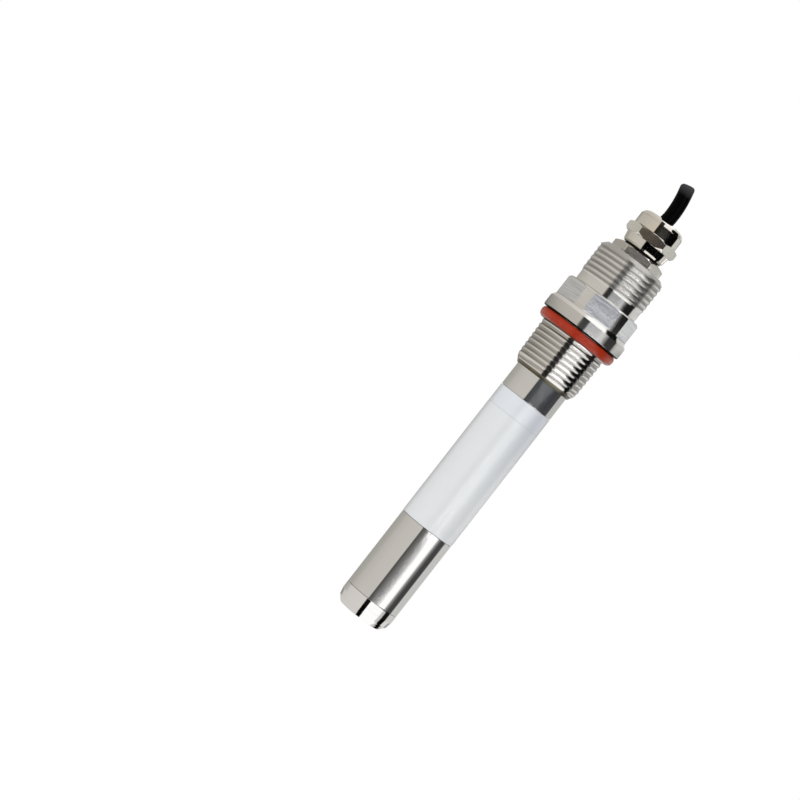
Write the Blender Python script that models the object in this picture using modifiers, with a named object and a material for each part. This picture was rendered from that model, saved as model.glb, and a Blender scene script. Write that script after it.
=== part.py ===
"""Insertion probe for turbidity: a steel tube with a white sleeve, an optical tip, a threaded process
fitting with its seal ring, and a cable gland. Metres, +Z up the probe's axis, origin at the tip's face.
"""

import math

import bmesh
import bpy
from mathutils import Matrix, Vector

# Smoothness of the round pieces
SEGMENTS = 32
FINE_SEGMENTS = 16
SMALL_SEGMENTS = 12
THREAD_STEPS = 22

# Clearances
SEAT_GAP = 0.0003
SOLDER_GAP = 0.0001

# Tube and sleeve
TUBE_DIAMETER = 0.0213
TUBE_WALL = 0.0015
TUBE_LENGTH = 0.1118
SLEEVE_DIAMETER = 0.0215
SLEEVE_WALL = 0.0006
SLEEVE_LENGTH = 0.0563
SLEEVE_HEIGHT = 0.0391

# Tip
TIP_DIAMETER = 0.0214
TIP_LENGTH = 0.0075
TIP_CHAMFER_WIDTH = 0.0022
TIP_CHAMFER_HEIGHT = 0.0028
SPIGOT_LENGTH = 0.0096
SPIGOT_WALL = 0.0015
WINDOW_DIAMETER = 0.013
WINDOW_THICKNESS = 0.002
WINDOW_RECESS = 0.00015
WINDOW_LEDGE = 0.0009
LEDGE_THICKNESS = 0.0012
WINDOW_SEAL_SECTION = 0.0007
TIP_SEAL_SECTION = 0.0012

# Optics in the tip
BEAM_TILT = math.radians(45)
BEAM_CROSSING = 0.0002
EMITTER_DIAMETER = 0.0019
EMITTER_LENGTH = 0.0024
LEG_DIAMETER = 0.00045
LEG_SPACING = 0.001
OPTICS_BLOCK_LENGTH = 0.0095
GROOVE_WIDTH = 0.0024
GROOVE_DEPTH = 0.0026
THERMISTOR_DIAMETER = 0.0013
BOARD_THICKNESS = 0.0012
BOARD_SCREW_DIAMETER = 0.0016
BOARD_SCREW_LENGTH = 0.005
BOARD_SCREW_CIRCLE = 0.0092

# Main board and its carriers
MAIN_BOARD_WIDTH = 0.015
MAIN_BOARD_LENGTH = 0.0775
MAIN_BOARD_SETBACK = 0.002
CARRIER_HEIGHT = 0.0045
CARRIER_WALL = 0.0022

# Process fitting, from its lower end up
COLLAR_HEIGHT = 0.0017
COLLAR_DIAMETER = 0.0223
COLLAR_TAPER = 0.0005
THREAD_PITCH = 0.002
THREAD_DEPTH = 0.00062
THREAD_CREST = 0.0004
THREAD_START = math.radians(2.6)
ENVELOPE_START = math.radians(5.1)
LOWER_THREAD_DIAMETER = 0.02625
LOWER_THREAD_TAPER = 0.0007
LOWER_THREAD_LENGTH = 0.0171
THREAD_LEAD_IN = 0.0021
THREAD_RUN_OUT = 0.0008
SEAL_SEAT_HEIGHT = 0.0031
FLANGE_DIAMETER = 0.0325
FLANGE_THICKNESS = 0.0047
FLANGE_CHAMFER = 0.0011
HEX_BODY_DIAMETER = 0.0302
HEX_FLATS = 0.028
HEX_HEIGHT = 0.0091
HEX_STEP = 0.0013
HEX_CHAMFER = 0.00065
HEX_TURN = math.radians(6.8)
NECK_DIAMETER = 0.02564
NECK_HEIGHT = 0.0037
UPPER_THREAD_DIAMETER = 0.0267
UPPER_THREAD_LENGTH = 0.0134
UPPER_CHAMFER = 0.0016
FITTING_BORE = 0.0164
TUBE_SOCKET_DEPTH = 0.0151
GLAND_SPOTFACE = 0.0212
GLAND_SPOTFACE_DEPTH = 0.0004

# Seal ring under the flange
SEAL_DIAMETER = 0.0314
SEAL_THICKNESS = 0.0037
SEAL_ROUNDING = 0.0011

# Cable gland
GLAND_THREAD_DIAMETER = 0.0154
GLAND_THREAD_LENGTH = 0.0084
GLAND_FLATS = 0.018
GLAND_HEX_TURN = math.radians(-1.8)
GLAND_HEX_HEIGHT = 0.0037
GLAND_SPIGOT_DIAMETER = 0.0148
GLAND_SPIGOT_LENGTH = 0.0084
GLAND_SEAL_SECTION = 0.001
NUT_DIAMETER = 0.0176
NUT_HEIGHT = 0.0138
NUT_COLLAR_HEIGHT = 0.0038
NUT_COLLAR_LIFT = 0.00385
NUT_FOOT_CHAMFER = 0.0006
NUT_FOOT_CHAMFER_HEIGHT = 0.0026
NUT_CROWN_RADIUS = 0.0026
NUT_CROWN_WALL = 0.0014
NUT_MOUTH_DIAMETER = 0.0088
CORNER_BLUNTING = 0.00015
CORNER_CONE_SLOPE = 0.7
CLAW_WALL = 0.0012
CLAW_FINGERS = 8
CLAW_SLOT = 0.0007
GRIP_WALL = 0.0012
GRIP_LENGTH = 0.0078

# Cable
CABLE_DIAMETER = 0.0054
CABLE_TAIL = 0.003
CORE_DIAMETER = 0.0011
HEAD_LEAD_DIAMETER = 0.0008

# Heights and radii that follow from the sizes above
TUBE_RADIUS = TUBE_DIAMETER / 2
TUBE_BORE = TUBE_RADIUS - TUBE_WALL
TUBE_FOOT = TIP_LENGTH + SEAT_GAP
TUBE_TOP = TUBE_FOOT + TUBE_LENGTH
WINDOW_RADIUS = WINDOW_DIAMETER / 2
WINDOW_POCKET = WINDOW_RADIUS + SEAT_GAP
WINDOW_BACK = WINDOW_RECESS + WINDOW_THICKNESS
LEDGE_FACE = WINDOW_BACK + WINDOW_SEAL_SECTION + SEAT_GAP / 2
LEDGE_BACK = LEDGE_FACE + LEDGE_THICKNESS
LEDGE_BORE = WINDOW_RADIUS - WINDOW_LEDGE
SPIGOT_RADIUS = TUBE_BORE - SEAT_GAP
SPIGOT_TOP = TIP_LENGTH + SPIGOT_LENGTH
TIP_BORE = SPIGOT_RADIUS - SPIGOT_WALL
EMITTER_RADIUS = EMITTER_DIAMETER / 2
EMITTER_DOME_HEIGHT = WINDOW_BACK + SEAT_GAP + EMITTER_RADIUS
EMITTER_DOME_DISTANCE = (EMITTER_DOME_HEIGHT + BEAM_CROSSING) / math.cos(BEAM_TILT)
EMITTER_DISTANCE = EMITTER_DOME_DISTANCE - EMITTER_RADIUS + EMITTER_LENGTH / 2
BLOCK_RADIUS = TIP_BORE - SEAT_GAP
BLOCK_FOOT = LEDGE_BACK + SEAT_GAP
BLOCK_TOP = BLOCK_FOOT + OPTICS_BLOCK_LENGTH
OPTICS_BOARD_FOOT = BLOCK_TOP + SEAT_GAP
OPTICS_BOARD_TOP = OPTICS_BOARD_FOOT + BOARD_THICKNESS
CARRIER_RADIUS = TUBE_BORE - SEAT_GAP
LOWER_CARRIER_FOOT = SPIGOT_TOP + SEAT_GAP
MAIN_BOARD_FOOT = LOWER_CARRIER_FOOT + CARRIER_HEIGHT / 4
MAIN_BOARD_TOP = MAIN_BOARD_FOOT + MAIN_BOARD_LENGTH
UPPER_CARRIER_FOOT = MAIN_BOARD_TOP - 3 * CARRIER_HEIGHT / 4
BOARD_FRONT = -MAIN_BOARD_SETBACK
BOARD_BACK = BOARD_FRONT + BOARD_THICKNESS

SOCKET_FLOOR = TUBE_TOP + SEAT_GAP
FITTING_HEIGHT = SOCKET_FLOOR - TUBE_SOCKET_DEPTH
LOWER_THREAD_RADIUS = LOWER_THREAD_DIAMETER / 2
UPPER_THREAD_RADIUS = UPPER_THREAD_DIAMETER / 2
LOWER_ROOT = LOWER_THREAD_RADIUS - LOWER_THREAD_TAPER / 2 - THREAD_DEPTH
UPPER_ROOT = UPPER_THREAD_RADIUS - THREAD_DEPTH
COLLAR_TOP = FITTING_HEIGHT + COLLAR_HEIGHT
LOWER_THREAD_TOP = COLLAR_TOP + LOWER_THREAD_LENGTH
FLANGE_FOOT = LOWER_THREAD_TOP + SEAL_SEAT_HEIGHT
FLANGE_TOP = FLANGE_FOOT + FLANGE_THICKNESS
HEX_TOP = FLANGE_TOP + HEX_HEIGHT
NECK_TOP = HEX_TOP + NECK_HEIGHT
FITTING_TOP = NECK_TOP + UPPER_THREAD_LENGTH
FLANGE_RADIUS = FLANGE_DIAMETER / 2
HEX_RADIUS = HEX_BODY_DIAMETER / 2
NECK_RADIUS = NECK_DIAMETER / 2
BORE_RADIUS = FITTING_BORE / 2
SPOTFACE_FLOOR = FITTING_TOP - GLAND_SPOTFACE_DEPTH
GLAND_THREAD_RADIUS = GLAND_THREAD_DIAMETER / 2
GLAND_HOLE = GLAND_THREAD_RADIUS + SEAT_GAP
SEAL_GROOVE_DEPTH = GLAND_SEAL_SECTION + SEAT_GAP
SEAL_GROOVE_RADIUS = GLAND_HOLE + GLAND_SEAL_SECTION + 2 * SEAT_GAP

GLAND_CORNER = GLAND_FLATS / math.sqrt(3) - CORNER_BLUNTING
GLAND_HEX_FOOT = SPOTFACE_FLOOR + SEAT_GAP
GLAND_HEX_TOP = GLAND_HEX_FOOT + GLAND_HEX_HEIGHT
GLAND_FOOT = GLAND_HEX_FOOT - GLAND_THREAD_LENGTH
GLAND_SPIGOT_RADIUS = GLAND_SPIGOT_DIAMETER / 2
GLAND_SPIGOT_TOP = GLAND_HEX_TOP + GLAND_SPIGOT_LENGTH
CABLE_RADIUS = CABLE_DIAMETER / 2
GRIP_BORE = CABLE_RADIUS + SEAT_GAP
GRIP_RADIUS = GRIP_BORE + GRIP_WALL
CLAW_BORE = GRIP_RADIUS + SEAT_GAP
CLAW_RADIUS = CLAW_BORE + CLAW_WALL
CLAW_SEAT_RADIUS = CLAW_RADIUS + SEAT_GAP
CLAW_SEAT_FLOOR = GLAND_SPIGOT_TOP - 0.45 * GLAND_SPIGOT_LENGTH
GRIP_FOOT = CLAW_SEAT_FLOOR - 0.35 * GRIP_LENGTH
GRIP_TOP = GRIP_FOOT + GRIP_LENGTH
NUT_RADIUS = NUT_DIAMETER / 2
NUT_FOOT = GLAND_HEX_TOP + SEAT_GAP
NUT_TOP = NUT_FOOT + NUT_HEIGHT
NUT_BORE = GLAND_SPIGOT_RADIUS + SEAT_GAP
NUT_MOUTH = NUT_MOUTH_DIAMETER / 2
NUT_COLLAR_FOOT = NUT_FOOT + NUT_COLLAR_LIFT
NUT_COLLAR_TOP = NUT_COLLAR_FOOT + NUT_COLLAR_HEIGHT
NUT_CEILING = NUT_TOP - NUT_CROWN_WALL
NUT_CONE_FOOT = GLAND_SPIGOT_TOP + 2 * SEAT_GAP
NUT_CONE_RADIUS = CLAW_RADIUS + 3 * SEAT_GAP
CLAW_FOOT = CLAW_SEAT_FLOOR + SEAT_GAP
CABLE_FOOT = GLAND_FOOT - CABLE_TAIL

# The cable's own course above the gland: sideways offset and height over the nut
CABLE_COURSE = (
    (0.0, 0.0),
    (0.00005, 0.0022),
    (-0.00005, 0.0048),
    (-0.0004, 0.0078),
    (-0.00085, 0.0106),
    (-0.0014, 0.0134),
    (-0.00195, 0.0159),
)


def clear_scene():
    for item in list(bpy.data.objects):
        bpy.data.objects.remove(item, do_unlink=True)


def new_collection(name):
    made = bpy.data.collections.new(name)
    bpy.context.scene.collection.children.link(made)
    return made


clear_scene()
PROBE = new_collection("turbidity_sensor")
CUTTERS = new_collection("cutters")


def material(name, colour, roughness, metallic=0.0, alpha=1.0):
    """A Principled material of one colour, made once and then shared."""
    made = bpy.data.materials.get(name)
    if made:
        return made
    made = bpy.data.materials.new(name)
    made.use_nodes = True
    shader = made.node_tree.nodes["Principled BSDF"]
    shader.inputs["Base Color"].default_value = (*colour, 1.0)
    shader.inputs["Roughness"].default_value = roughness
    shader.inputs["Metallic"].default_value = metallic
    shader.inputs["Alpha"].default_value = alpha
    made.diffuse_color = (*colour, alpha)
    return made


STEEL = material("stainless_steel", (0.62, 0.61, 0.59), 0.25, 1.0)
NICKEL = material("nickel_plated_brass", (0.66, 0.62, 0.56), 0.2, 1.0)
WHITE_PLASTIC = material("white_plastic", (0.83, 0.84, 0.86), 0.4)
RED_SILICONE = material("red_silicone", (0.52, 0.03, 0.01), 0.45)
BLACK_RUBBER = material("black_rubber", (0.02, 0.02, 0.02), 0.6)
BLACK_PLASTIC = material("black_plastic", (0.03, 0.03, 0.032), 0.5)
BLACK_CABLE = material("black_cable", (0.012, 0.012, 0.013), 0.45)
SAPPHIRE = material("sapphire", (0.85, 0.9, 0.95), 0.03, 0.0, 0.35)
CIRCUIT_GREEN = material("circuit_board", (0.02, 0.17, 0.07), 0.45)
PALE_NYLON = material("pale_nylon", (0.7, 0.68, 0.62), 0.5)
CONNECTOR_WHITE = material("connector_white", (0.75, 0.73, 0.66), 0.5)
TINNED_STEEL = material("tinned_steel", (0.7, 0.7, 0.7), 0.3, 1.0)
CORE_COLOURS = {
    "red": material("red_insulation", (0.6, 0.03, 0.02), 0.5),
    "black": BLACK_PLASTIC,
    "yellow": material("yellow_insulation", (0.75, 0.55, 0.03), 0.5),
    "blue": material("blue_insulation", (0.02, 0.1, 0.5), 0.5),
}


def add_object(name, mesh, surface=None, collection=None):
    """Link a mesh as an object: a piece in the probe, or a hidden helper in the cutters."""
    made = bpy.data.objects.new(name, mesh)
    (collection or PROBE).objects.link(made)
    if surface:
        mesh.materials.clear()
        mesh.materials.append(surface)
    if collection is CUTTERS:
        made.hide_render = True
        made.display_type = "WIRE"
    return made


def evaluated_mesh(source):
    """The mesh that an object's modifiers or bevel make, as a mesh of its own."""
    graph = bpy.context.evaluated_depsgraph_get()
    graph.update()
    return bpy.data.meshes.new_from_object(source.evaluated_get(graph))


def shade_round(mesh):
    mesh.shade_smooth()
    mesh.set_sharp_from_angle(angle=math.radians(28))


def arc(centre, radius, start, end, steps):
    """Points on an arc in the outline's plane, angles in degrees from the radial direction."""
    points = []
    for step in range(steps + 1):
        angle = math.radians(start + (end - start) * step / steps)
        points.append((centre[0] + radius * math.cos(angle), centre[1] + radius * math.sin(angle)))
    return points


def turned(name, outline, surface=None, collection=None, segments=SEGMENTS):
    """Turn an outline of (radius, height) points about Z with a Screw. An outline that begins and ends
    on the axis is solid there, and any other is closed into a ring."""
    on_axis = outline[0][0] == 0 and outline[-1][0] == 0
    count = len(outline)
    edges = [(i, i + 1) for i in range(count - 1)]
    if not on_axis:
        edges.append((count - 1, 0))
    profile = bpy.data.meshes.new(name + "_outline")
    profile.from_pydata([(r, 0.0, z) for r, z in outline], edges, [])
    source = add_object(name + "_outline", profile, collection=CUTTERS)
    screw = source.modifiers.new("turn", "SCREW")
    screw.angle = 2 * math.pi
    screw.steps = segments
    screw.render_steps = segments
    screw.use_merge_vertices = True
    screw.merge_threshold = 0.000001
    mesh = evaluated_mesh(source)
    bpy.data.objects.remove(source, do_unlink=True)
    shade_round(mesh)
    return add_object(name, mesh, surface, collection)


def box(name, size, centre, surface=None, collection=None, turn=0.0):
    """A box of the given size, turned about Z and then moved to its centre."""
    made = bmesh.new()
    bmesh.ops.create_cube(made, size=1.0)
    place = Matrix.Translation(centre) @ Matrix.Rotation(turn, 4, "Z") @ Matrix.Diagonal((*size, 1.0))
    made.transform(place)
    mesh = bpy.data.meshes.new(name)
    made.to_mesh(mesh)
    made.free()
    return add_object(name, mesh, surface, collection)


def cylinder(name, radius, depth, place, surface=None, collection=None, segments=FINE_SEGMENTS):
    """A capped cylinder about its own Z, put in place by a matrix."""
    made = bmesh.new()
    bmesh.ops.create_cone(
        made, cap_ends=True, segments=segments, radius1=radius, radius2=radius, depth=depth
    )
    made.transform(place)
    mesh = bpy.data.meshes.new(name)
    made.to_mesh(mesh)
    made.free()
    shade_round(mesh)
    return add_object(name, mesh, surface, collection)


def combine(target, other, operation):
    step = target.modifiers.new(f"{operation.lower()}_{other.name}"[:60], "BOOLEAN")
    step.operation = operation
    step.solver = "EXACT"
    step.object = other
    return step


def bake(made):
    """Turn an object's modifiers into its own mesh, so that it can be moved as one piece."""
    mesh = evaluated_mesh(made)
    made.modifiers.clear()
    made.data = mesh


def hex_collar_cutter(name, flats, corner, foot, top, turn):
    """A ring with a six-sided hole: taken away, it leaves flats on what stands in its hole."""
    height = top - foot
    middle = Matrix.Translation((0, 0, (foot + top) / 2))
    ring = cylinder(name, 1.6 * corner, height, middle, collection=CUTTERS, segments=SEGMENTS)
    spin = Matrix.Rotation(turn + math.radians(30), 4, "Z")
    prism = cylinder(
        name + "_hole", flats / math.sqrt(3), 3 * height, middle @ spin, collection=CUTTERS, segments=6
    )
    combine(ring, prism, "DIFFERENCE")
    return ring


def threaded_bar(name, root, crest, foot, top, taper=0.0):
    """A bar with a right-hand 60-degree thread, a little longer than asked at both ends. One pitch of its
    outline goes up the helix with a Screw, and the ends are closed to the axis. With a taper, the bar
    slims towards its foot."""
    flank = (crest - root) * math.tan(math.radians(30))
    start = foot - THREAD_PITCH
    outline = [
        (root, 0.0),
        (crest, flank),
        (crest, flank + THREAD_CREST),
        (root, 2 * flank + THREAD_CREST),
        (root, THREAD_PITCH),
    ]
    profile = bpy.data.meshes.new(name + "_outline")
    edges = [(i, i + 1) for i in range(len(outline) - 1)]
    profile.from_pydata([(r, 0.0, start + z) for r, z in outline], edges, [])
    source = add_object(name + "_outline", profile, collection=CUTTERS)
    screw = source.modifiers.new("helix", "SCREW")
    screw.angle = 2 * math.pi
    screw.screw_offset = THREAD_PITCH
    screw.iterations = math.ceil((top - foot) / THREAD_PITCH) + 1
    screw.steps = THREAD_STEPS
    screw.render_steps = THREAD_STEPS
    mesh = evaluated_mesh(source)
    bpy.data.objects.remove(source, do_unlink=True)
    made = bmesh.new()
    made.from_mesh(mesh)
    bmesh.ops.remove_doubles(made, verts=made.verts, dist=0.000001)
    close_to_axis(made, (foot + top) / 2)
    for point in made.verts:
        slimming = 1 - taper * (top - point.co.z) / (top - foot)
        point.co.x *= slimming
        point.co.y *= slimming
    made.transform(Matrix.Rotation(THREAD_START, 4, "Z"))
    bmesh.ops.recalc_face_normals(made, faces=made.faces)
    made.to_mesh(mesh)
    made.free()
    return add_object(name, mesh, collection=CUTTERS)


def close_to_axis(made, middle):
    """Close each open end of a helical sheet with a fan to a point on the axis."""
    rims = [edge for edge in made.edges if edge.is_boundary]
    for upper in (False, True):
        rim = [edge for edge in rims if (edge.verts[0].co.z > middle) == upper]
        height = sum(edge.verts[0].co.z for edge in rim) / len(rim)
        centre = made.verts.new((0, 0, height))
        for edge in rim:
            made.faces.new((edge.verts[0], edge.verts[1], centre))


def smooth_route(knots, spacing):
    """Points a given spacing apart on the Catmull-Rom curve through the knots."""
    points = []
    for i in range(len(knots) - 1):
        before = knots[max(i - 1, 0)]
        first, second = knots[i], knots[i + 1]
        after = knots[min(i + 2, len(knots) - 1)]
        steps = max(1, round((second - first).length / spacing))
        for step in range(steps):
            t = step / steps
            points.append(
                0.5
                * (
                    2 * first
                    + (second - before) * t
                    + (2 * before - 5 * first + 4 * second - after) * t**2
                    + (3 * first - before - 3 * second + after) * t**3
                )
            )
    points.append(knots[-1])
    return points


def wire(name, points, diameter, surface, resolution=2):
    """A round wire or cable: a poly curve with a bevel and filled ends."""
    curve = bpy.data.curves.new(name, "CURVE")
    curve.dimensions = "3D"
    curve.bevel_depth = diameter / 2
    curve.bevel_resolution = resolution
    curve.use_fill_caps = True
    spline = curve.splines.new("POLY")
    spline.points.add(len(points) - 1)
    for knot, point in zip(spline.points, points):
        knot.co = (*point, 1.0)
    made = bpy.data.objects.new(name, curve)
    PROBE.objects.link(made)
    curve.materials.append(surface)
    return made


def wire_mesh(name, points, diameter, collection):
    """The same wire as a closed mesh, for joining to a piece."""
    source = wire(name + "_curve", points, diameter, TINNED_STEEL, 1)
    mesh = evaluated_mesh(source)
    bpy.data.objects.remove(source, do_unlink=True)
    made = bmesh.new()
    made.from_mesh(mesh)
    bmesh.ops.remove_doubles(made, verts=made.verts, dist=0.000001)
    bmesh.ops.recalc_face_normals(made, faces=made.faces)
    made.to_mesh(mesh)
    made.free()
    return add_object(name, mesh, collection=collection)


def seal_torus(name, ring_radius, section, height, surface, segments=FINE_SEGMENTS):
    """An O-ring: a round section turned about the axis."""
    outline = arc((ring_radius, height), section / 2, 90, -270, 6)[:-1]
    return turned(name, outline, surface, segments=segments)


def housing_tube():
    """Seamless tube, turned down in the middle so that the sleeve lies flush."""
    recess = SLEEVE_DIAMETER / 2 - SLEEVE_WALL - SEAT_GAP / 2
    sleeve_top = SLEEVE_HEIGHT + SLEEVE_LENGTH
    outline = [
        (TUBE_BORE, TUBE_TOP),
        (TUBE_RADIUS, TUBE_TOP),
        (TUBE_RADIUS, sleeve_top + SEAT_GAP / 2),
        (recess, sleeve_top + SEAT_GAP / 2),
        (recess, SLEEVE_HEIGHT - SEAT_GAP / 2),
        (TUBE_RADIUS, SLEEVE_HEIGHT - SEAT_GAP / 2),
        (TUBE_RADIUS, TUBE_FOOT),
        (TUBE_BORE, TUBE_FOOT),
    ]
    turned("housing_tube", outline, STEEL)


def white_sleeve():
    """Thin moulded sleeve with softened end edges."""
    outer = SLEEVE_DIAMETER / 2
    inner = outer - SLEEVE_WALL
    edge = SLEEVE_WALL / 4
    foot = SLEEVE_HEIGHT
    top = SLEEVE_HEIGHT + SLEEVE_LENGTH
    outline = [
        (inner, top),
        (outer - edge, top),
        (outer, top - edge),
        (outer, foot + edge),
        (outer - edge, foot),
        (inner, foot),
    ]
    turned("white_sleeve", outline, WHITE_PLASTIC)


def tip_cap():
    """Turned cap: a spigot up into the tube with an O-ring groove, and a ledge behind the window."""
    outer = TIP_DIAMETER / 2
    groove = SPIGOT_RADIUS - TIP_SEAL_SECTION + SEAT_GAP
    groove_height = TIP_SEAL_SECTION + SEAT_GAP
    groove_foot = TIP_LENGTH + SPIGOT_LENGTH / 3
    edge = TIP_CHAMFER_WIDTH / 3
    outline = [
        (TIP_BORE, SPIGOT_TOP),
        (SPIGOT_RADIUS - edge / 2, SPIGOT_TOP),
        (SPIGOT_RADIUS, SPIGOT_TOP - edge / 2),
        (SPIGOT_RADIUS, groove_foot + groove_height),
        (groove, groove_foot + groove_height),
        (groove, groove_foot),
        (SPIGOT_RADIUS, groove_foot),
        (SPIGOT_RADIUS, TIP_LENGTH),
        (outer, TIP_LENGTH),
        (outer, TIP_CHAMFER_HEIGHT + edge),
        (outer - edge / 3, TIP_CHAMFER_HEIGHT),
        (outer - TIP_CHAMFER_WIDTH + edge / 3, edge / 3),
        (outer - TIP_CHAMFER_WIDTH - edge / 3, 0.0),
        (WINDOW_POCKET, 0.0),
        (WINDOW_POCKET, LEDGE_FACE),
        (LEDGE_BORE, LEDGE_FACE),
        (LEDGE_BORE, LEDGE_BACK),
        (TIP_BORE, LEDGE_BACK),
    ]
    turned("tip_cap", outline, STEEL)
    middle = groove_foot + groove_height / 2
    ring = groove + TIP_SEAL_SECTION / 2
    seal_torus("tip_oring", ring, TIP_SEAL_SECTION - SEAT_GAP / 2, middle, BLACK_RUBBER)


def tip_window():
    """Sapphire disc with ground edges, on an O-ring against the cap's ledge."""
    edge = WINDOW_THICKNESS / 10
    outline = [
        (0, WINDOW_BACK),
        (WINDOW_RADIUS - edge, WINDOW_BACK),
        (WINDOW_RADIUS, WINDOW_BACK - edge),
        (WINDOW_RADIUS, WINDOW_RECESS + edge),
        (WINDOW_RADIUS - edge, WINDOW_RECESS),
        (0, WINDOW_RECESS),
    ]
    turned("tip_window", outline, SAPPHIRE)
    seal_height = (WINDOW_BACK + LEDGE_FACE) / 2
    seal_radius = (LEDGE_BORE + WINDOW_POCKET) / 2
    seal_torus("tip_window_seal", seal_radius, WINDOW_SEAL_SECTION - SEAT_GAP / 2, seal_height, BLACK_RUBBER)


def beam_frame(side):
    """Place of an emitter or detector: on a line that leans out from where the two beams cross."""
    lean = Matrix.Rotation(side * BEAM_TILT, 4, "Y")
    return Matrix.Translation((0, 0, -BEAM_CROSSING)) @ lean


def optics_block():
    """Black block with two leaning bores, a nose through the ledge, and grooves for the legs."""
    nose = LEDGE_BORE - SEAT_GAP
    nose_foot = WINDOW_BACK + SEAT_GAP
    outline = [
        (0, BLOCK_TOP),
        (BLOCK_RADIUS, BLOCK_TOP),
        (BLOCK_RADIUS, BLOCK_FOOT),
        (nose, BLOCK_FOOT),
        (nose, nose_foot),
        (0, nose_foot),
    ]
    block = turned("optics_block", outline, BLACK_PLASTIC, segments=FINE_SEGMENTS)
    bore_radius = EMITTER_RADIUS + SEAT_GAP
    bore_length = 2 * BLOCK_RADIUS
    for side, word in ((-1, "left"), (1, "right")):
        place = beam_frame(side) @ Matrix.Translation((0, 0, bore_length / 2))
        bore = cylinder(f"{word}_beam_bore", bore_radius, bore_length, place, collection=CUTTERS)
        combine(block, bore, "DIFFERENCE")
    groove_middle = (BLOCK_TOP + BLOCK_FOOT) / 2
    for index, angle in enumerate((0, 90, 180)):
        direction = Matrix.Rotation(math.radians(angle), 4, "Z")
        centre = direction @ Vector((BLOCK_RADIUS, 0, groove_middle))
        groove = box(
            f"leg_groove_{index + 1}",
            (2 * GROOVE_DEPTH, GROOVE_WIDTH, 1.2 * OPTICS_BLOCK_LENGTH),
            centre,
            collection=CUTTERS,
            turn=math.radians(angle),
        )
        combine(block, groove, "DIFFERENCE")
    for number, place in enumerate(board_screw_places()):
        hole = cylinder(
            f"board_screw_hole_{number + 1}",
            BOARD_SCREW_DIAMETER / 2 + SEAT_GAP,
            2 * BOARD_SCREW_LENGTH,
            Matrix.Translation((place.x, place.y, BLOCK_TOP)),
            collection=CUTTERS,
            segments=SMALL_SEGMENTS,
        )
        combine(block, hole, "DIFFERENCE")


def board_screw_places():
    """The two screws stand across the board on one circle, clear of the legs and the chip."""
    places = []
    for angle in (45, 225):
        turn = math.radians(angle)
        radius = BOARD_SCREW_CIRCLE / 2
        places.append(Vector((radius * math.cos(turn), radius * math.sin(turn), 0)))
    return places


def leg_route(frame, offset):
    """A leg leaves the back of its body along the beam's line and then turns up to the board. The
    points are in the body's own frame."""
    inside = Vector((0, offset, EMITTER_LENGTH / 4))
    bend = Vector((0, offset, EMITTER_LENGTH / 2 + LEG_DIAMETER))
    placed = frame @ bend
    top = Vector((placed.x, placed.y, OPTICS_BOARD_FOOT - SOLDER_GAP))
    middle = Vector((placed.x, placed.y, (placed.z + top.z) / 2))
    back_to_body = frame.inverted()
    return [inside, bend, back_to_body @ middle, back_to_body @ top]


def beam_device(name, side, surface):
    """A small round-nosed emitter or detector with its flange and two legs."""
    radius = EMITTER_RADIUS
    flange = radius + SEAT_GAP / 2
    back = EMITTER_LENGTH / 2
    dome = arc((0, -back + radius), radius, 0, -90, 5)
    dome[-1] = (0, -back)
    outline = [(0, back), (flange, back), (flange, back * 0.6), (radius, back * 0.6)] + dome
    frame = beam_frame(side) @ Matrix.Translation((0, 0, EMITTER_DISTANCE))
    body = turned(name, outline, surface, segments=SMALL_SEGMENTS)
    for number, offset in enumerate((-LEG_SPACING / 2, LEG_SPACING / 2)):
        leg = wire_mesh(f"{name}_leg_{number + 1}", leg_route(frame, offset), LEG_DIAMETER, CUTTERS)
        combine(body, leg, "UNION")
    bake(body)
    body.data.transform(frame)


def thermistor():
    """A glass bead on two legs, close to the cap's ledge so that it follows the water."""
    radius = THERMISTOR_DIAMETER / 2
    place = Vector((0, BLOCK_RADIUS - GROOVE_DEPTH / 2, LEDGE_BACK + radius + SEAT_GAP))
    length = 2 * THERMISTOR_DIAMETER
    dome = arc((0, 0), radius, 0, -90, 4)
    dome[-1] = (0, -radius)
    outline = [(0, length - radius), (radius * 0.6, length - radius), (radius, length - 1.6 * radius)]
    bead = turned("thermistor", outline + dome, TINNED_STEEL, segments=SMALL_SEGMENTS)
    bead.data.transform(Matrix.Translation(place))
    for number, offset in enumerate((-radius / 2, radius / 2)):
        foot = place + Vector((offset, 0, radius))
        top = Vector((foot.x, foot.y, OPTICS_BOARD_FOOT - SOLDER_GAP))
        route = [foot, (foot + top) / 2, top]
        leg = wire_mesh(f"thermistor_leg_{number + 1}", route, LEG_DIAMETER / 2, CUTTERS)
        combine(bead, leg, "UNION")


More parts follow.
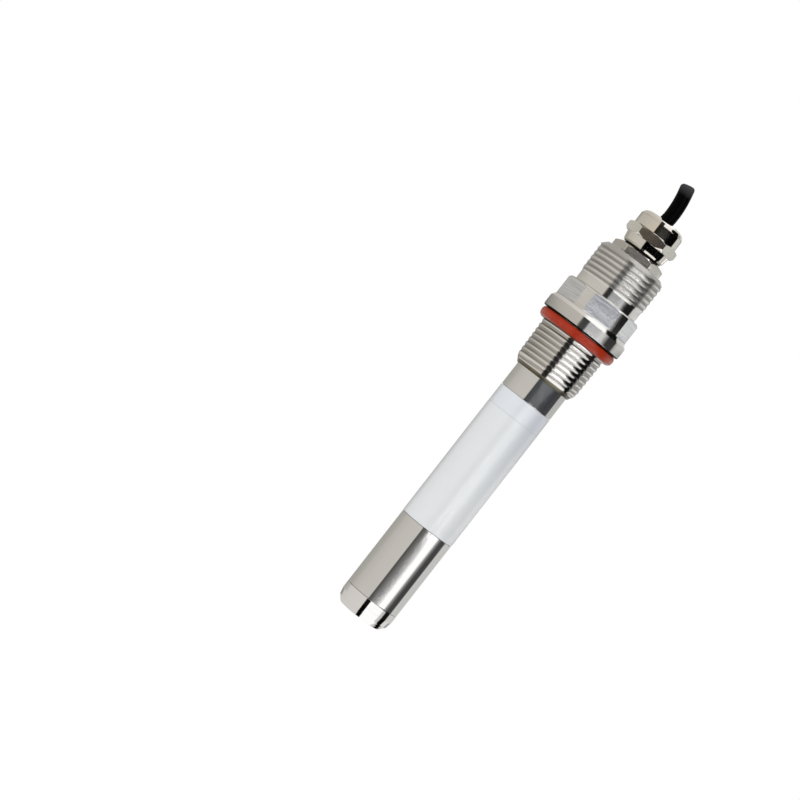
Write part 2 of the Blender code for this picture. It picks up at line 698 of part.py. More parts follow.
def optics_board():
    """Round board on the block, with a preamplifier and the header for the leads, held by two screws."""
    outline = [(0, OPTICS_BOARD_TOP), (BLOCK_RADIUS, OPTICS_BOARD_TOP)]
    outline += [(BLOCK_RADIUS, OPTICS_BOARD_FOOT), (0, OPTICS_BOARD_FOOT)]
    board = turned("optics_board", outline, CIRCUIT_GREEN, segments=FINE_SEGMENTS)
    shank = BOARD_SCREW_DIAMETER / 2
    head = 1.9 * shank
    head_foot = OPTICS_BOARD_TOP + SOLDER_GAP
    for number, place in enumerate(board_screw_places()):
        hole = cylinder(
            f"board_hole_{number + 1}",
            shank + SEAT_GAP,
            4 * BOARD_THICKNESS,
            Matrix.Translation((place.x, place.y, OPTICS_BOARD_TOP)),
            collection=CUTTERS,
            segments=SMALL_SEGMENTS,
        )
        combine(board, hole, "DIFFERENCE")
        screw_outline = [
            (0, head_foot + shank),
            (head * 0.75, head_foot + shank),
            (head, head_foot + shank * 0.6),
            (head, head_foot),
            (shank, head_foot),
            (shank, head_foot - BOARD_SCREW_LENGTH + shank),
            (0, head_foot - BOARD_SCREW_LENGTH),
        ]
        screw = turned(f"board_screw_{number + 1}", screw_outline, TINNED_STEEL, segments=SMALL_SEGMENTS)
        screw.data.transform(Matrix.Translation(place))


def header(name, ways, pitch, centre, depth, height, surface=CONNECTOR_WHITE):
    """A board header: a block with one wire entry a way, open at the top."""
    width = (ways + 1) * pitch
    block = box(name, (width, depth, height), centre, surface)
    for way in range(ways):
        entry = centre + Vector(((way - (ways - 1) / 2) * pitch, 0, height / 2))
        size = (0.6 * pitch, 0.5 * depth, 0.6 * height)
        hole = box(f"{name}_entry_{way + 1}", size, entry, collection=CUTTERS)
        combine(block, hole, "DIFFERENCE")
    return block


OPTICS_HEADER_SIZE = Vector((0.0016, 0.0026, 0.0024))
CABLE_HEADER_SIZE = Vector((0.0025, 0.0045, 0.006))
HEAD_HEADER_SIZE = Vector((0.0016, 0.0028, 0.003))


def optics_header_centre():
    return Vector((0, 0, OPTICS_BOARD_TOP + SOLDER_GAP + OPTICS_HEADER_SIZE.z / 2))


def cable_header_centre():
    depth = CABLE_HEADER_SIZE.y
    height = UPPER_CARRIER_FOOT - CABLE_HEADER_SIZE.z
    return Vector((0, BOARD_BACK + SOLDER_GAP + depth / 2, height))


def head_header_centre():
    depth = HEAD_HEADER_SIZE.y
    height = LOWER_CARRIER_FOOT + CARRIER_HEIGHT + HEAD_HEADER_SIZE.z
    return Vector((0, BOARD_BACK + SOLDER_GAP + depth / 2, height))


def headers():
    """One header on the optics board, and one at each end of the main board."""
    size = OPTICS_HEADER_SIZE
    header("optics_header", 4, size.x, optics_header_centre(), size.y, size.z)
    size = CABLE_HEADER_SIZE
    header("cable_header", 4, size.x, cable_header_centre(), size.y, size.z)
    size = HEAD_HEADER_SIZE
    lower = header("head_header", 4, size.x, head_header_centre(), size.y, size.z)
    flip = Matrix.Translation(head_header_centre()) @ Matrix.Rotation(math.pi, 4, "X")
    place = flip @ Matrix.Translation(-head_header_centre())
    lower.data.transform(place)
    for step in lower.modifiers:
        step.object.data.transform(place)


def carrier(name, foot):
    """A ring with two slots inside that hold the main board's edges."""
    inner = CARRIER_RADIUS - CARRIER_WALL
    edge = CARRIER_WALL / 6
    outline = [
        (inner, foot + CARRIER_HEIGHT),
        (CARRIER_RADIUS - edge, foot + CARRIER_HEIGHT),
        (CARRIER_RADIUS, foot + CARRIER_HEIGHT - edge),
        (CARRIER_RADIUS, foot + edge),
        (CARRIER_RADIUS - edge, foot),
        (inner, foot),
    ]
    ring = turned(name, outline, BLACK_PLASTIC, segments=FINE_SEGMENTS)
    slot_size = (
        MAIN_BOARD_WIDTH + 2 * SEAT_GAP,
        BOARD_THICKNESS + 2 * SEAT_GAP,
        3 * CARRIER_HEIGHT,
    )
    centre = (0, (BOARD_FRONT + BOARD_BACK) / 2, foot)
    slot = box(name + "_slot", slot_size, centre, collection=CUTTERS)
    combine(ring, slot, "DIFFERENCE")


# Parts soldered to the main board: place across, share of the board's length, then their size across,
# along and off the board
BOARD_PARTS = {
    "microcontroller": (0.0, 0.47, 0.007, 0.007, 0.0014, BLACK_PLASTIC),
    "converter_chip": (-0.0032, 0.3, 0.0044, 0.005, 0.0012, BLACK_PLASTIC),
    "amplifier_chip": (0.0034, 0.31, 0.0039, 0.0049, 0.0014, BLACK_PLASTIC),
    "bus_chip": (-0.0024, 0.66, 0.0039, 0.0049, 0.0014, BLACK_PLASTIC),
    "regulator": (0.0037, 0.68, 0.0036, 0.0065, 0.0016, BLACK_PLASTIC),
    "crystal": (0.0, 0.56, 0.0035, 0.0022, 0.001, TINNED_STEEL),
    "inductor": (0.0, 0.2, 0.005, 0.005, 0.003, BLACK_PLASTIC),
}


def main_board():
    """Long board held by its edges in the two carriers, with its soldered parts."""
    size = (MAIN_BOARD_WIDTH, BOARD_THICKNESS, MAIN_BOARD_LENGTH)
    centre = (0, (BOARD_FRONT + BOARD_BACK) / 2, MAIN_BOARD_FOOT + MAIN_BOARD_LENGTH / 2)
    box("main_board", size, centre, CIRCUIT_GREEN)
    face = BOARD_BACK + SOLDER_GAP
    for name, (across, share, width, length, height, surface) in BOARD_PARTS.items():
        middle = Vector((across, face + height / 2, MAIN_BOARD_FOOT + share * MAIN_BOARD_LENGTH))
        box(name, (width, height, length), middle, surface)
    storage_capacitor(face)
    box(
        "preamplifier_chip",
        (0.003, 0.003, 0.0011),
        Vector((0.0042, -0.0032, OPTICS_BOARD_TOP + SOLDER_GAP + 0.00055)),
        BLACK_PLASTIC,
    )


def storage_capacitor(face):
    """A can capacitor that stands off the board."""
    radius = 0.0025
    height = 0.0054
    waist = height * 0.3
    outline = [
        (0, height),
        (radius * 0.86, height),
        (radius, height * 0.94),
        (radius, waist),
        (radius * 0.92, waist * 0.8),
        (radius, 0.0),
        (0, 0.0),
    ]
    can = turned("storage_capacitor", outline, TINNED_STEEL, segments=FINE_SEGMENTS)
    stand = Matrix.Translation((0, face, MAIN_BOARD_FOOT + 0.79 * MAIN_BOARD_LENGTH))
    can.data.transform(stand @ Matrix.Rotation(math.radians(-90), 4, "X"))


def process_fitting():
    """One stainless piece: the flange, hexagon and necks between two threaded ends, with a stepped bore."""
    inside = THREAD_DEPTH
    outline = [
        (0, NECK_TOP + THREAD_PITCH),
        (UPPER_ROOT - inside, NECK_TOP + THREAD_PITCH),
        (UPPER_ROOT - inside, NECK_TOP),
        (NECK_RADIUS, NECK_TOP),
        (NECK_RADIUS, HEX_TOP),
        (HEX_RADIUS - HEX_CHAMFER, HEX_TOP),
        (HEX_RADIUS, HEX_TOP - HEX_CHAMFER),
        (HEX_RADIUS, FLANGE_TOP),
        (FLANGE_RADIUS - FLANGE_CHAMFER * 0.35, FLANGE_TOP - FLANGE_CHAMFER * 0.8),
        (FLANGE_RADIUS, FLANGE_TOP - FLANGE_CHAMFER * 1.8),
        (FLANGE_RADIUS, FLANGE_FOOT + FLANGE_CHAMFER),
        (FLANGE_RADIUS - FLANGE_CHAMFER * 0.6, FLANGE_FOOT),
        (NECK_RADIUS, FLANGE_FOOT),
        (NECK_RADIUS, LOWER_THREAD_TOP),
        (LOWER_ROOT - inside, LOWER_THREAD_TOP),
        (LOWER_ROOT - inside, LOWER_THREAD_TOP - THREAD_PITCH),
        (0, LOWER_THREAD_TOP - THREAD_PITCH),
    ]
    fitting = turned("process_fitting", outline, STEEL)
    combine(fitting, lower_threaded_end(), "UNION")
    combine(fitting, upper_threaded_end(), "UNION")
    hex_foot = FLANGE_TOP + HEX_STEP
    flats = hex_collar_cutter(
        "fitting_flats", HEX_FLATS, HEX_RADIUS, hex_foot, HEX_TOP + NECK_HEIGHT / 2, HEX_TURN
    )
    combine(fitting, flats, "DIFFERENCE")
    combine(fitting, fitting_bore(), "DIFFERENCE")


def lower_threaded_end():
    """The tapering lower thread, turned at its foot to a lead-in cone and a plain collar."""
    crest = LOWER_THREAD_RADIUS
    slim = crest - LOWER_THREAD_TAPER / 2
    collar = COLLAR_DIAMETER / 2
    bar = threaded_bar(
        "lower_thread",
        crest - THREAD_DEPTH,
        crest,
        FITTING_HEIGHT,
        LOWER_THREAD_TOP,
        LOWER_THREAD_TAPER / 2 / crest,
    )
    outline = [
        (0, LOWER_THREAD_TOP + 2 * THREAD_RUN_OUT),
        (NECK_RADIUS - THREAD_DEPTH, LOWER_THREAD_TOP + 2 * THREAD_RUN_OUT),
        (crest + THREAD_DEPTH, LOWER_THREAD_TOP - 2 * THREAD_RUN_OUT),
        (slim + THREAD_DEPTH, COLLAR_TOP + THREAD_LEAD_IN + 2 * THREAD_DEPTH),
        (slim - THREAD_LEAD_IN / 2, COLLAR_TOP),
        (collar + COLLAR_TAPER / 2, COLLAR_TOP - SEAT_GAP),
        (collar, FITTING_HEIGHT),
        (0, FITTING_HEIGHT),
    ]
    envelope = turned("lower_thread_envelope", outline, collection=CUTTERS)
    envelope.data.transform(Matrix.Rotation(ENVELOPE_START, 4, "Z"))
    combine(bar, envelope, "INTERSECT")
    return bar


def upper_threaded_end():
    """The upper thread, chamfered to the fitting's flat top."""
    crest = UPPER_THREAD_RADIUS
    bar = threaded_bar("upper_thread", UPPER_ROOT, crest, NECK_TOP, FITTING_TOP)
    outline = [
        (0, FITTING_TOP),
        (crest - UPPER_CHAMFER, FITTING_TOP),
        (crest + UPPER_CHAMFER, FITTING_TOP - 2 * UPPER_CHAMFER),
        (crest + THREAD_DEPTH, NECK_TOP + 2.5 * THREAD_RUN_OUT),
        (NECK_RADIUS - THREAD_DEPTH, NECK_TOP - 0.7 * THREAD_RUN_OUT),
        (0, NECK_TOP - 0.7 * THREAD_RUN_OUT),
    ]
    envelope = turned("upper_thread_envelope", outline, collection=CUTTERS)
    envelope.data.transform(Matrix.Rotation(ENVELOPE_START, 4, "Z"))
    combine(bar, envelope, "INTERSECT")
    return bar


def fitting_bore():
    """Stepped bore: a socket for the tube, the way for the cores, the gland's hole and its O-ring seat."""
    socket = TUBE_RADIUS + SEAT_GAP
    gland_hole_foot = GLAND_FOOT - 4 * SEAT_GAP
    outline = [
        (0, FITTING_TOP + GLAND_SPOTFACE_DEPTH),
        (GLAND_SPOTFACE / 2, FITTING_TOP + GLAND_SPOTFACE_DEPTH),
        (GLAND_SPOTFACE / 2, SPOTFACE_FLOOR),
        (SEAL_GROOVE_RADIUS, SPOTFACE_FLOOR),
        (SEAL_GROOVE_RADIUS, SPOTFACE_FLOOR - SEAL_GROOVE_DEPTH),
        (GLAND_HOLE, SPOTFACE_FLOOR - SEAL_GROOVE_DEPTH),
        (GLAND_HOLE, gland_hole_foot),
        (BORE_RADIUS, gland_hole_foot),
        (BORE_RADIUS, SOCKET_FLOOR),
        (socket, SOCKET_FLOOR),
        (socket, FITTING_HEIGHT - COLLAR_HEIGHT),
        (0, FITTING_HEIGHT - COLLAR_HEIGHT),
    ]
    return turned("fitting_bore", outline, collection=CUTTERS)


def seal_ring():
    """Silicone gasket: flat where it seals, rounded where it is free."""
    inner = max(LOWER_THREAD_RADIUS, NECK_RADIUS) + SEAT_GAP
    outer = SEAL_DIAMETER / 2
    top = FLANGE_FOOT - SEAT_GAP
    foot = top - SEAL_THICKNESS
    upper = SEAL_ROUNDING
    lower = SEAL_ROUNDING * 1.3
    outline = [(inner, top)]
    outline += arc((outer - upper, top - upper), upper, 90, 0, 2)
    outline += arc((outer - lower, foot + lower), lower, 0, -90, 3)
    outline += [(inner, foot)]
    turned("seal_ring", outline, RED_SILICONE)


def gland_body():
    """Brass body: thread down into the fitting, hexagon, and the spigot that carries the nut."""
    cable_way = CABLE_RADIUS + 2 * SEAT_GAP
    grip_seat = GRIP_RADIUS + SEAT_GAP
    grip_floor = GRIP_FOOT - SEAT_GAP
    washer = NUT_RADIUS - NUT_FOOT_CHAMFER
    cone = CORNER_CONE_SLOPE * (GLAND_CORNER - washer)
    edge = SEAT_GAP
    outline = [
        (CLAW_SEAT_RADIUS, GLAND_SPIGOT_TOP),
        (GLAND_SPIGOT_RADIUS - edge, GLAND_SPIGOT_TOP),
        (GLAND_SPIGOT_RADIUS, GLAND_SPIGOT_TOP - edge),
        (GLAND_SPIGOT_RADIUS, GLAND_HEX_TOP),
        (washer, GLAND_HEX_TOP),
        (GLAND_CORNER, GLAND_HEX_TOP - cone),
        (GLAND_CORNER, GLAND_HEX_FOOT),
        (GLAND_THREAD_RADIUS, GLAND_HEX_FOOT),
        (GLAND_THREAD_RADIUS, GLAND_FOOT + edge),
        (GLAND_THREAD_RADIUS - edge, GLAND_FOOT),
        (cable_way, GLAND_FOOT),
        (cable_way, grip_floor),
        (grip_seat, grip_floor),
        (grip_seat, CLAW_SEAT_FLOOR),
        (CLAW_SEAT_RADIUS, CLAW_SEAT_FLOOR),
    ]
    body = turned("gland_body", outline, NICKEL)
    flats = hex_collar_cutter(
        "gland_body_flats",
        GLAND_FLATS,
        GLAND_CORNER,
        GLAND_HEX_FOOT - GLAND_HEX_HEIGHT / 2,
        GLAND_HEX_TOP + GLAND_HEX_HEIGHT / 2,
        GLAND_HEX_TURN,
    )
    combine(body, flats, "DIFFERENCE")
    height = SPOTFACE_FLOOR - SEAL_GROOVE_DEPTH / 2
    ring = (GLAND_THREAD_RADIUS + SEAL_GROOVE_RADIUS) / 2
    seal_torus("gland_oring", ring, GLAND_SEAL_SECTION, height, BLACK_RUBBER)


def gland_seal():
    """Rubber sleeve that grips the cable."""
    edge = GRIP_WALL / 5
    outline = [
        (GRIP_BORE, GRIP_TOP),
        (GRIP_RADIUS - edge, GRIP_TOP),
        (GRIP_RADIUS, GRIP_TOP - edge),
        (GRIP_RADIUS, GRIP_FOOT),
        (GRIP_BORE, GRIP_FOOT),
    ]
    turned("gland_seal", outline, BLACK_RUBBER, segments=FINE_SEGMENTS)


def nut_cone_radius(height):
    """Radius of the nut's inner cone at a height, from its foot up to the mouth."""
    share = (height - NUT_CONE_FOOT) / (NUT_CEILING - NUT_CONE_FOOT)
    return NUT_CONE_RADIUS + (NUT_MOUTH - NUT_CONE_RADIUS) * share


def gland_claw():
    """Nylon ring of fingers: the nut's cone squeezes them in on the seal."""
    clearance = 1.3 * SEAT_GAP
    shoulder = GLAND_SPIGOT_TOP + SEAT_GAP
    finger_top = NUT_CEILING - SEAT_GAP
    inner_top = max(nut_cone_radius(finger_top) - clearance - CLAW_WALL * 0.6, CABLE_RADIUS + SEAT_GAP)
    outline = [
        (inner_top, finger_top),
        (nut_cone_radius(finger_top) - clearance, finger_top),
        (nut_cone_radius(shoulder + SEAT_GAP) - clearance, shoulder + SEAT_GAP),
        (nut_cone_radius(shoulder + SEAT_GAP) - clearance, shoulder),
        (CLAW_RADIUS, shoulder),
        (CLAW_RADIUS, CLAW_FOOT),
        (CLAW_BORE, CLAW_FOOT),
        (CLAW_BORE, GRIP_TOP + SEAT_GAP),
    ]
    claw = turned("gland_claw", outline, PALE_NYLON, segments=FINE_SEGMENTS)
    slot_foot = CLAW_FOOT + 0.35 * (finger_top - CLAW_FOOT)
    slot_height = 2 * (finger_top - slot_foot)
    for index in range(CLAW_FINGERS // 2):
        slot = box(
            f"claw_slot_{index + 1}",
            (4 * CLAW_RADIUS, CLAW_SLOT, slot_height),
            (0, 0, slot_foot + slot_height / 2),
            collection=CUTTERS,
            turn=math.radians(7) + index * 2 * math.pi / CLAW_FINGERS,
        )
        combine(claw, slot, "DIFFERENCE")


def gland_nut():
    """Dome nut: skirt, hexagon with turned corners, and a rounded crown with the cable's mouth."""
    r = NUT_CROWN_RADIUS
    cone = CORNER_CONE_SLOPE * (GLAND_CORNER - NUT_RADIUS)
    edge = SEAT_GAP
    outline = [(NUT_MOUTH + edge, NUT_TOP)]
    outline += arc((NUT_RADIUS - r, NUT_TOP - r), r, 90, 0, 3)
    outline += [
        (NUT_RADIUS, NUT_COLLAR_TOP),
        (GLAND_CORNER, NUT_COLLAR_TOP - cone),
        (GLAND_CORNER, NUT_COLLAR_FOOT + cone),
        (NUT_RADIUS, NUT_COLLAR_FOOT),
        (NUT_RADIUS, NUT_FOOT + NUT_FOOT_CHAMFER_HEIGHT),
        (NUT_RADIUS - NUT_FOOT_CHAMFER, NUT_FOOT),
        (NUT_BORE, NUT_FOOT),
        (NUT_BORE, NUT_CONE_FOOT),
        (NUT_CONE_RADIUS, NUT_CONE_FOOT),
        (NUT_MOUTH, NUT_CEILING),
        (NUT_MOUTH, NUT_TOP - edge),
    ]
    nut = turned("gland_nut", outline, NICKEL)
    flats = hex_collar_cutter(
        "gland_nut_flats",
        GLAND_FLATS,
        GLAND_CORNER,
        NUT_COLLAR_FOOT - NUT_COLLAR_HEIGHT / 2,
        NUT_COLLAR_TOP + NUT_COLLAR_HEIGHT / 2,
        GLAND_HEX_TURN,
    )
    combine(nut, flats, "DIFFERENCE")


def cable():
    """The cable runs down through the gland and is cut off short above it."""
    knots = [Vector((0, 0, CABLE_FOOT + share * (NUT_TOP - CABLE_FOOT))) for share in (0, 0.3, 0.6, 0.85)]
    knots += [Vector((offset, 0, NUT_TOP + rise)) for offset, rise in CABLE_COURSE]
    wire("cable_jacket", smooth_route(knots, 0.4 * CABLE_DIAMETER), CABLE_DIAMETER, BLACK_CABLE, 3)


def cores():
    """Four cores from the cable's inner end to the header on the main board."""
    centre = cable_header_centre()
    header_top = centre.z + CABLE_HEADER_SIZE.z / 2 + SEAT_GAP
    spread = CORE_DIAMETER * 0.85
    corners = {"red": (-1, 1), "black": (-1, -1), "yellow": (1, -1), "blue": (1, 1)}
    for way, (colour, (x, y)) in enumerate(corners.items()):
        entry_x = centre.x + (way - 1.5) * CABLE_HEADER_SIZE.x
        cable_end = Vector((x * spread, y * spread, CABLE_FOOT - SEAT_GAP))
        knots = [
            Vector((entry_x, centre.y, header_top)),
            Vector((entry_x, centre.y, header_top + 4 * CORE_DIAMETER)),
            Vector((entry_x * 0.8, centre.y + y * CORE_DIAMETER, (header_top * 0.6 + cable_end.z * 0.4))),
            cable_end - Vector((0, 0, 6 * CORE_DIAMETER)),
            cable_end,
        ]
        route = smooth_route(knots, 5 * CORE_DIAMETER)
        wire(f"core_{colour}", route, CORE_DIAMETER, CORE_COLOURS[colour])


def head_leads():
    """Four leads between the optics board and the foot of the main board."""
    low = optics_header_centre() + Vector((0, 0, OPTICS_HEADER_SIZE.z / 2 + SEAT_GAP))
    high = head_header_centre() - Vector((0, 0, HEAD_HEADER_SIZE.z / 2 + SEAT_GAP))
    surfaces = list(CORE_COLOURS.values())
    for way in range(4):
        across = way - 1.5
        rise = (high.z - low.z) / 4
        knots = [
            Vector((across * OPTICS_HEADER_SIZE.x, low.y, low.z)),
            Vector((across * OPTICS_HEADER_SIZE.x, low.y, low.z + rise)),
            Vector((across * HEAD_HEADER_SIZE.x, high.y, high.z - rise)),
            Vector((across * HEAD_HEADER_SIZE.x, high.y, high.z)),
        ]
        route = smooth_route(knots, 1.5 * HEAD_LEAD_DIAMETER)
        wire(f"head_lead_{way + 1}", route, HEAD_LEAD_DIAMETER, surfaces[way])


tip_cap()
tip_window()
optics_block()
beam_device("infrared_led", -1, SAPPHIRE)
beam_device("photodiode", 1, BLACK_PLASTIC)
thermistor()
optics_board()
headers()
housing_tube()
white_sleeve()
carrier("lower_carrier", LOWER_CARRIER_FOOT)
carrier("upper_carrier", UPPER_CARRIER_FOOT)
main_board()
process_fitting()
seal_ring()
gland_body()
gland_seal()
gland_claw()
gland_nut()
cable()
cores()
head_leads()
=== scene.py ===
import math

import bpy
import numpy as np
from mathutils import Matrix, Vector


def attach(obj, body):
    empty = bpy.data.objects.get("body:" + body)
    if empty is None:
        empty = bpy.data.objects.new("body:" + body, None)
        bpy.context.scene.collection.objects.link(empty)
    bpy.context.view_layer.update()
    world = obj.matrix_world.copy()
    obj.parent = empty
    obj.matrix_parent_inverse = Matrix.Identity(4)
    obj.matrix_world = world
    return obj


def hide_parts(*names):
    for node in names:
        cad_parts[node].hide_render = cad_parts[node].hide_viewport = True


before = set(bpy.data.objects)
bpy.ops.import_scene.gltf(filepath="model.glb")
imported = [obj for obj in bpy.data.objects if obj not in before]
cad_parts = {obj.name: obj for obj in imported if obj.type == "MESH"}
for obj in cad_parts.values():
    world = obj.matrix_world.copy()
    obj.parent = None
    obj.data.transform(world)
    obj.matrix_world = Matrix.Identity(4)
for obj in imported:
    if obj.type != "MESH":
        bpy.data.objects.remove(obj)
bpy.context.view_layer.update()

# Camera. Level with the fitting and nearly a metre from the probe, which it sees square on and leaning
# over to the right, so the camera is rolled. It aims at the picture's centre, left of the probe.
CAMERA_PLACE = (0.0, -0.968, 0.0941)
CAMERA_RIGHT = Vector((0.78815, 0.04483, 0.61385))
CAMERA_UP = Vector((-0.61441, -0.00169, 0.78899))
CAMERA_LENS = 123.63

camera_data = bpy.data.cameras.new("camera")
camera_data.lens = CAMERA_LENS
camera_data.sensor_width = 36.0
camera_data.clip_start = 0.05
camera_data.clip_end = 20.0
camera = bpy.data.objects.new("camera", camera_data)
bpy.context.scene.collection.objects.link(camera)
camera_back = CAMERA_RIGHT.cross(CAMERA_UP).normalized()
camera_turn = Matrix((CAMERA_RIGHT.normalized(), camera_back.cross(CAMERA_RIGHT).normalized(), camera_back))
camera.matrix_world = Matrix.Translation(CAMERA_PLACE) @ camera_turn.transposed().to_4x4()
bpy.context.scene.camera = camera

# Cable: four-core cable in a black polyurethane jacket, 5.4 mm thick, extruded smooth. It comes up out of
# the gland and is cut off 15.5 mm above it. Its inner end hangs free over the boards, as in the solids.
CABLE_DIAMETER = 0.0054
CABLE_FOOT = 0.1461
NUT_TOP = 0.1753
CABLE_COURSE = (
    (0.0001, 0.0, 0.0),
    (0.0003, 0.0, 0.0022),
    (0.0003, 0.0, 0.0048),
    (0.00005, 0.0, 0.0078),
    (-0.0004, 0.0, 0.0106),
    (-0.0009, 0.0, 0.0129),
    (-0.0014, 0.0, 0.0151),
)
CUT_ROUNDING = 0.0012
CUT_SLOPE = 0.25
SHEEN_FOOT, SHEEN_TOP = 0.1862, 0.1908
CORE_CIRCLE = 0.0008


def linear(hex_colour):
    """sRGB hex to linear red, green, blue, 1: each share to the power of about 2.4, straight when dark."""
    share = np.array([int(hex_colour[i : i + 2], 16) for i in (1, 3, 5)]) / 255
    value = np.where(share <= 0.04045, share / 12.92, ((share + 0.055) / 1.055) ** 2.4)
    return (*[float(v) for v in value], 1.0)


def add(material, kind, settings=None, **links):
    """Add a node to a material or world. Its settings are properties, or sockets by name or number, and
    each link joins an output to a socket, by name or by an underscore and a number."""
    node = material.node_tree.nodes.new("ShaderNode" + kind)
    for name, value in (settings or {}).items():
        if hasattr(node, name):
            setattr(node, name, value)
        else:
            node.inputs[int(name) if name.isdigit() else name].default_value = value
    for name, output in links.items():
        socket = node.inputs[int(name[1:]) if name[1:].isdigit() else name.replace("_", " ")]
        material.node_tree.links.new(output, socket)
    return node


def new_material(name, **sockets):
    """A Principled material with its uniform values set on the shader's own sockets."""
    made = bpy.data.materials.new(name)
    made.use_nodes = True
    shader = made.node_tree.nodes["Principled BSDF"]
    for socket, value in sockets.items():
        shader.inputs[socket.replace("_", " ")].default_value = value
    return made, shader


def link(material, output, shader, socket):
    """Join a node's output to one of the shader's sockets."""
    material.node_tree.links.new(output, shader.inputs[socket])


def grained(material, shader, pattern, tones=None, roughness=None, relief=None):
    """Let one pattern from 0 to 1 tint, dull and raise a surface: it goes from the first to the second of
    two tones and of two roughnesses, and lifts the surface with a strength over a distance in metres."""
    if tones:
        tone = add(material, "MixRGB", {"1": linear(tones[0]), "2": linear(tones[1])}, _0=pattern)
        link(material, tone.outputs[0], shader, "Base Color")
    if roughness:
        dull = add(material, "MapRange", {"3": roughness[0], "4": roughness[1]}, Value=pattern)
        link(material, dull.outputs[0], shader, "Roughness")
    if relief:
        bump = add(material, "Bump", {"Strength": relief[0], "Distance": relief[1]}, Height=pattern)
        link(material, bump.outputs[0], shader, "Normal")


def smooth_course(knots, spacing):
    """Catmull-Rom curve through the knots, points about a spacing apart: on each stretch the cubic
    whose slopes at both ends are half the step between the neighbours."""
    knots = np.asarray(knots, float)
    padded = np.vstack([2 * knots[0] - knots[1], knots, 2 * knots[-1] - knots[-2]])
    per = max(2, int(np.ceil(np.linalg.norm(np.diff(knots, axis=0), axis=1).max() / spacing)))
    t = (np.arange(per) / per)[None, :, None]
    a, b, c, d = (padded[i : i + len(knots) - 1, None, :] for i in range(4))
    curve = 0.5 * (
        2 * b + (c - a) * t + (2 * a - 5 * b + 4 * c - d) * t**2 + (3 * b - a - 3 * c + d) * t**3
    )
    return np.vstack([curve.reshape(-1, 3), knots[-1]])


straight = [(0.0, 0.0, CABLE_FOOT + share * (NUT_TOP - CABLE_FOOT)) for share in (0, 0.3, 0.6, 0.85)]
rise = [(x, y, NUT_TOP + z) for x, y, z in CABLE_COURSE]
cable_line = smooth_course(straight + rise, 0.002)

# The knife has rounded the edge of the cut: the last stretch has closer points, and its radius shrinks
# along a quarter of a circle.
last, before = cable_line[-1], cable_line[-4]
back = (before - last) / np.linalg.norm(before - last)
near_cut = [last + back * CUT_ROUNDING * share for share in (1.0, 0.75, 0.5, 0.3, 0.15, 0.05)]
kept = np.linalg.norm(cable_line - last, axis=1) > 1.3 * CUT_ROUNDING
cable_line = np.vstack([cable_line[kept], near_cut, last])
steps = np.linalg.norm(np.diff(cable_line, axis=0), axis=1)
to_end = np.append(np.cumsum(steps[::-1])[::-1], 0.0)
into_rounding = np.clip(1.0 - to_end / CUT_ROUNDING, 0.0, 1.0)
cable_curve = bpy.data.curves.new("cable_jacket_skin", "CURVE")
cable_curve.dimensions = "3D"
cable_curve.bevel_depth = CABLE_DIAMETER / 2
cable_curve.bevel_resolution = 10
cable_curve.use_fill_caps = True
cable_spline = cable_curve.splines.new("POLY")
cable_spline.points.add(len(cable_line) - 1)
cable_spline.points.foreach_set("co", np.hstack([cable_line, np.ones((len(cable_line), 1))]).ravel())
cable_spline.use_smooth = True
cable_spline.points.foreach_set("radius", 0.6 + 0.4 * np.sqrt(1.0 - into_rounding**2))
cable = bpy.data.objects.new("cable_jacket_skin", cable_curve)
bpy.context.scene.collection.objects.link(cable)

# Extruded black polyurethane: nearly black, with a soft satin shine and a very fine drawn grain. Towards
# the cut it is painted grey, a painted sheen where the end catches the light.
polyurethane, shader = new_material("extruded_black_polyurethane", IOR=1.4, Specular_IOR_Level=0.06)
place = add(polyurethane, "TexCoord")
axes = add(polyurethane, "SeparateXYZ", Vector=place.outputs["Object"])
# Painted sheen: the jacket turns grey over its last few millimetres below the cut.
painted_sheen = add(polyurethane, "MapRange", {"1": SHEEN_FOOT, "2": SHEEN_TOP}, Value=axes.outputs["Z"])
sheen_tones = {"1": linear("#010101"), "2": linear("#48494B")}
tone = add(polyurethane, "MixRGB", sheen_tones, _0=painted_sheen.outputs[0])

# On the cut face show the ends of the four cores, each a ring of coloured insulation round copper.
INSULATION_EDGE = {"1": 0.0005, "2": 0.00055, "3": 1.0, "4": 0.0}
COPPER_EDGE = {"1": 0.00026, "2": 0.0003, "3": 1.0, "4": 0.0}
for quarter, coat in enumerate(("#B01812", "#D8A418", "#1A1A1C", "#1C4FA8")):
    sideways = CORE_CIRCLE * math.cos(quarter * math.pi / 2 + 0.6)
    depth = CORE_CIRCLE * math.sin(quarter * math.pi / 2 + 0.6)
    centre = (cable_line[-1][0] + sideways, depth, cable_line[-1][2] + CUT_SLOPE * sideways)
    to_centre = {"operation": "DISTANCE", "1": centre}
    away = add(polyurethane, "VectorMath", to_centre, _0=place.outputs["Object"])
    skin = add(polyurethane, "MapRange", INSULATION_EDGE, Value=away.outputs["Value"])
    wire = add(polyurethane, "MapRange", COPPER_EDGE, Value=away.outputs["Value"])
    tone = add(polyurethane, "MixRGB", {"2": linear(coat)}, _0=skin.outputs[0], _1=tone.outputs[0])
    tone = add(polyurethane, "MixRGB", {"2": linear("#B87A50")}, _0=wire.outputs[0], _1=tone.outputs[0])
link(polyurethane, tone.outputs[0], shader, "Base Color")
stretch = add(polyurethane, "Mapping", {"3": (1.0, 1.0, 0.08)}, Vector=place.outputs["Object"])
grain = add(polyurethane, "TexNoise", {"Scale": 2500.0, "Detail": 3.0}, Vector=stretch.outputs[0])
grained(polyurethane, shader, grain.outputs["Fac"], roughness=(0.3, 0.48), relief=(0.25, 0.00008))
cable_curve.materials.append(polyurethane)

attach(cable, "sensor")
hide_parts("cable_jacket")

# Studio: a white world, darker on the camera's side, where the metal mirrors the room. The floor lies
# well under the probe, which is held in its port and stands on nothing.
scene_world = bpy.data.worlds.new("studio")
bpy.context.scene.world = scene_world
scene_world.use_nodes = True
scene_world.node_tree.nodes.clear()

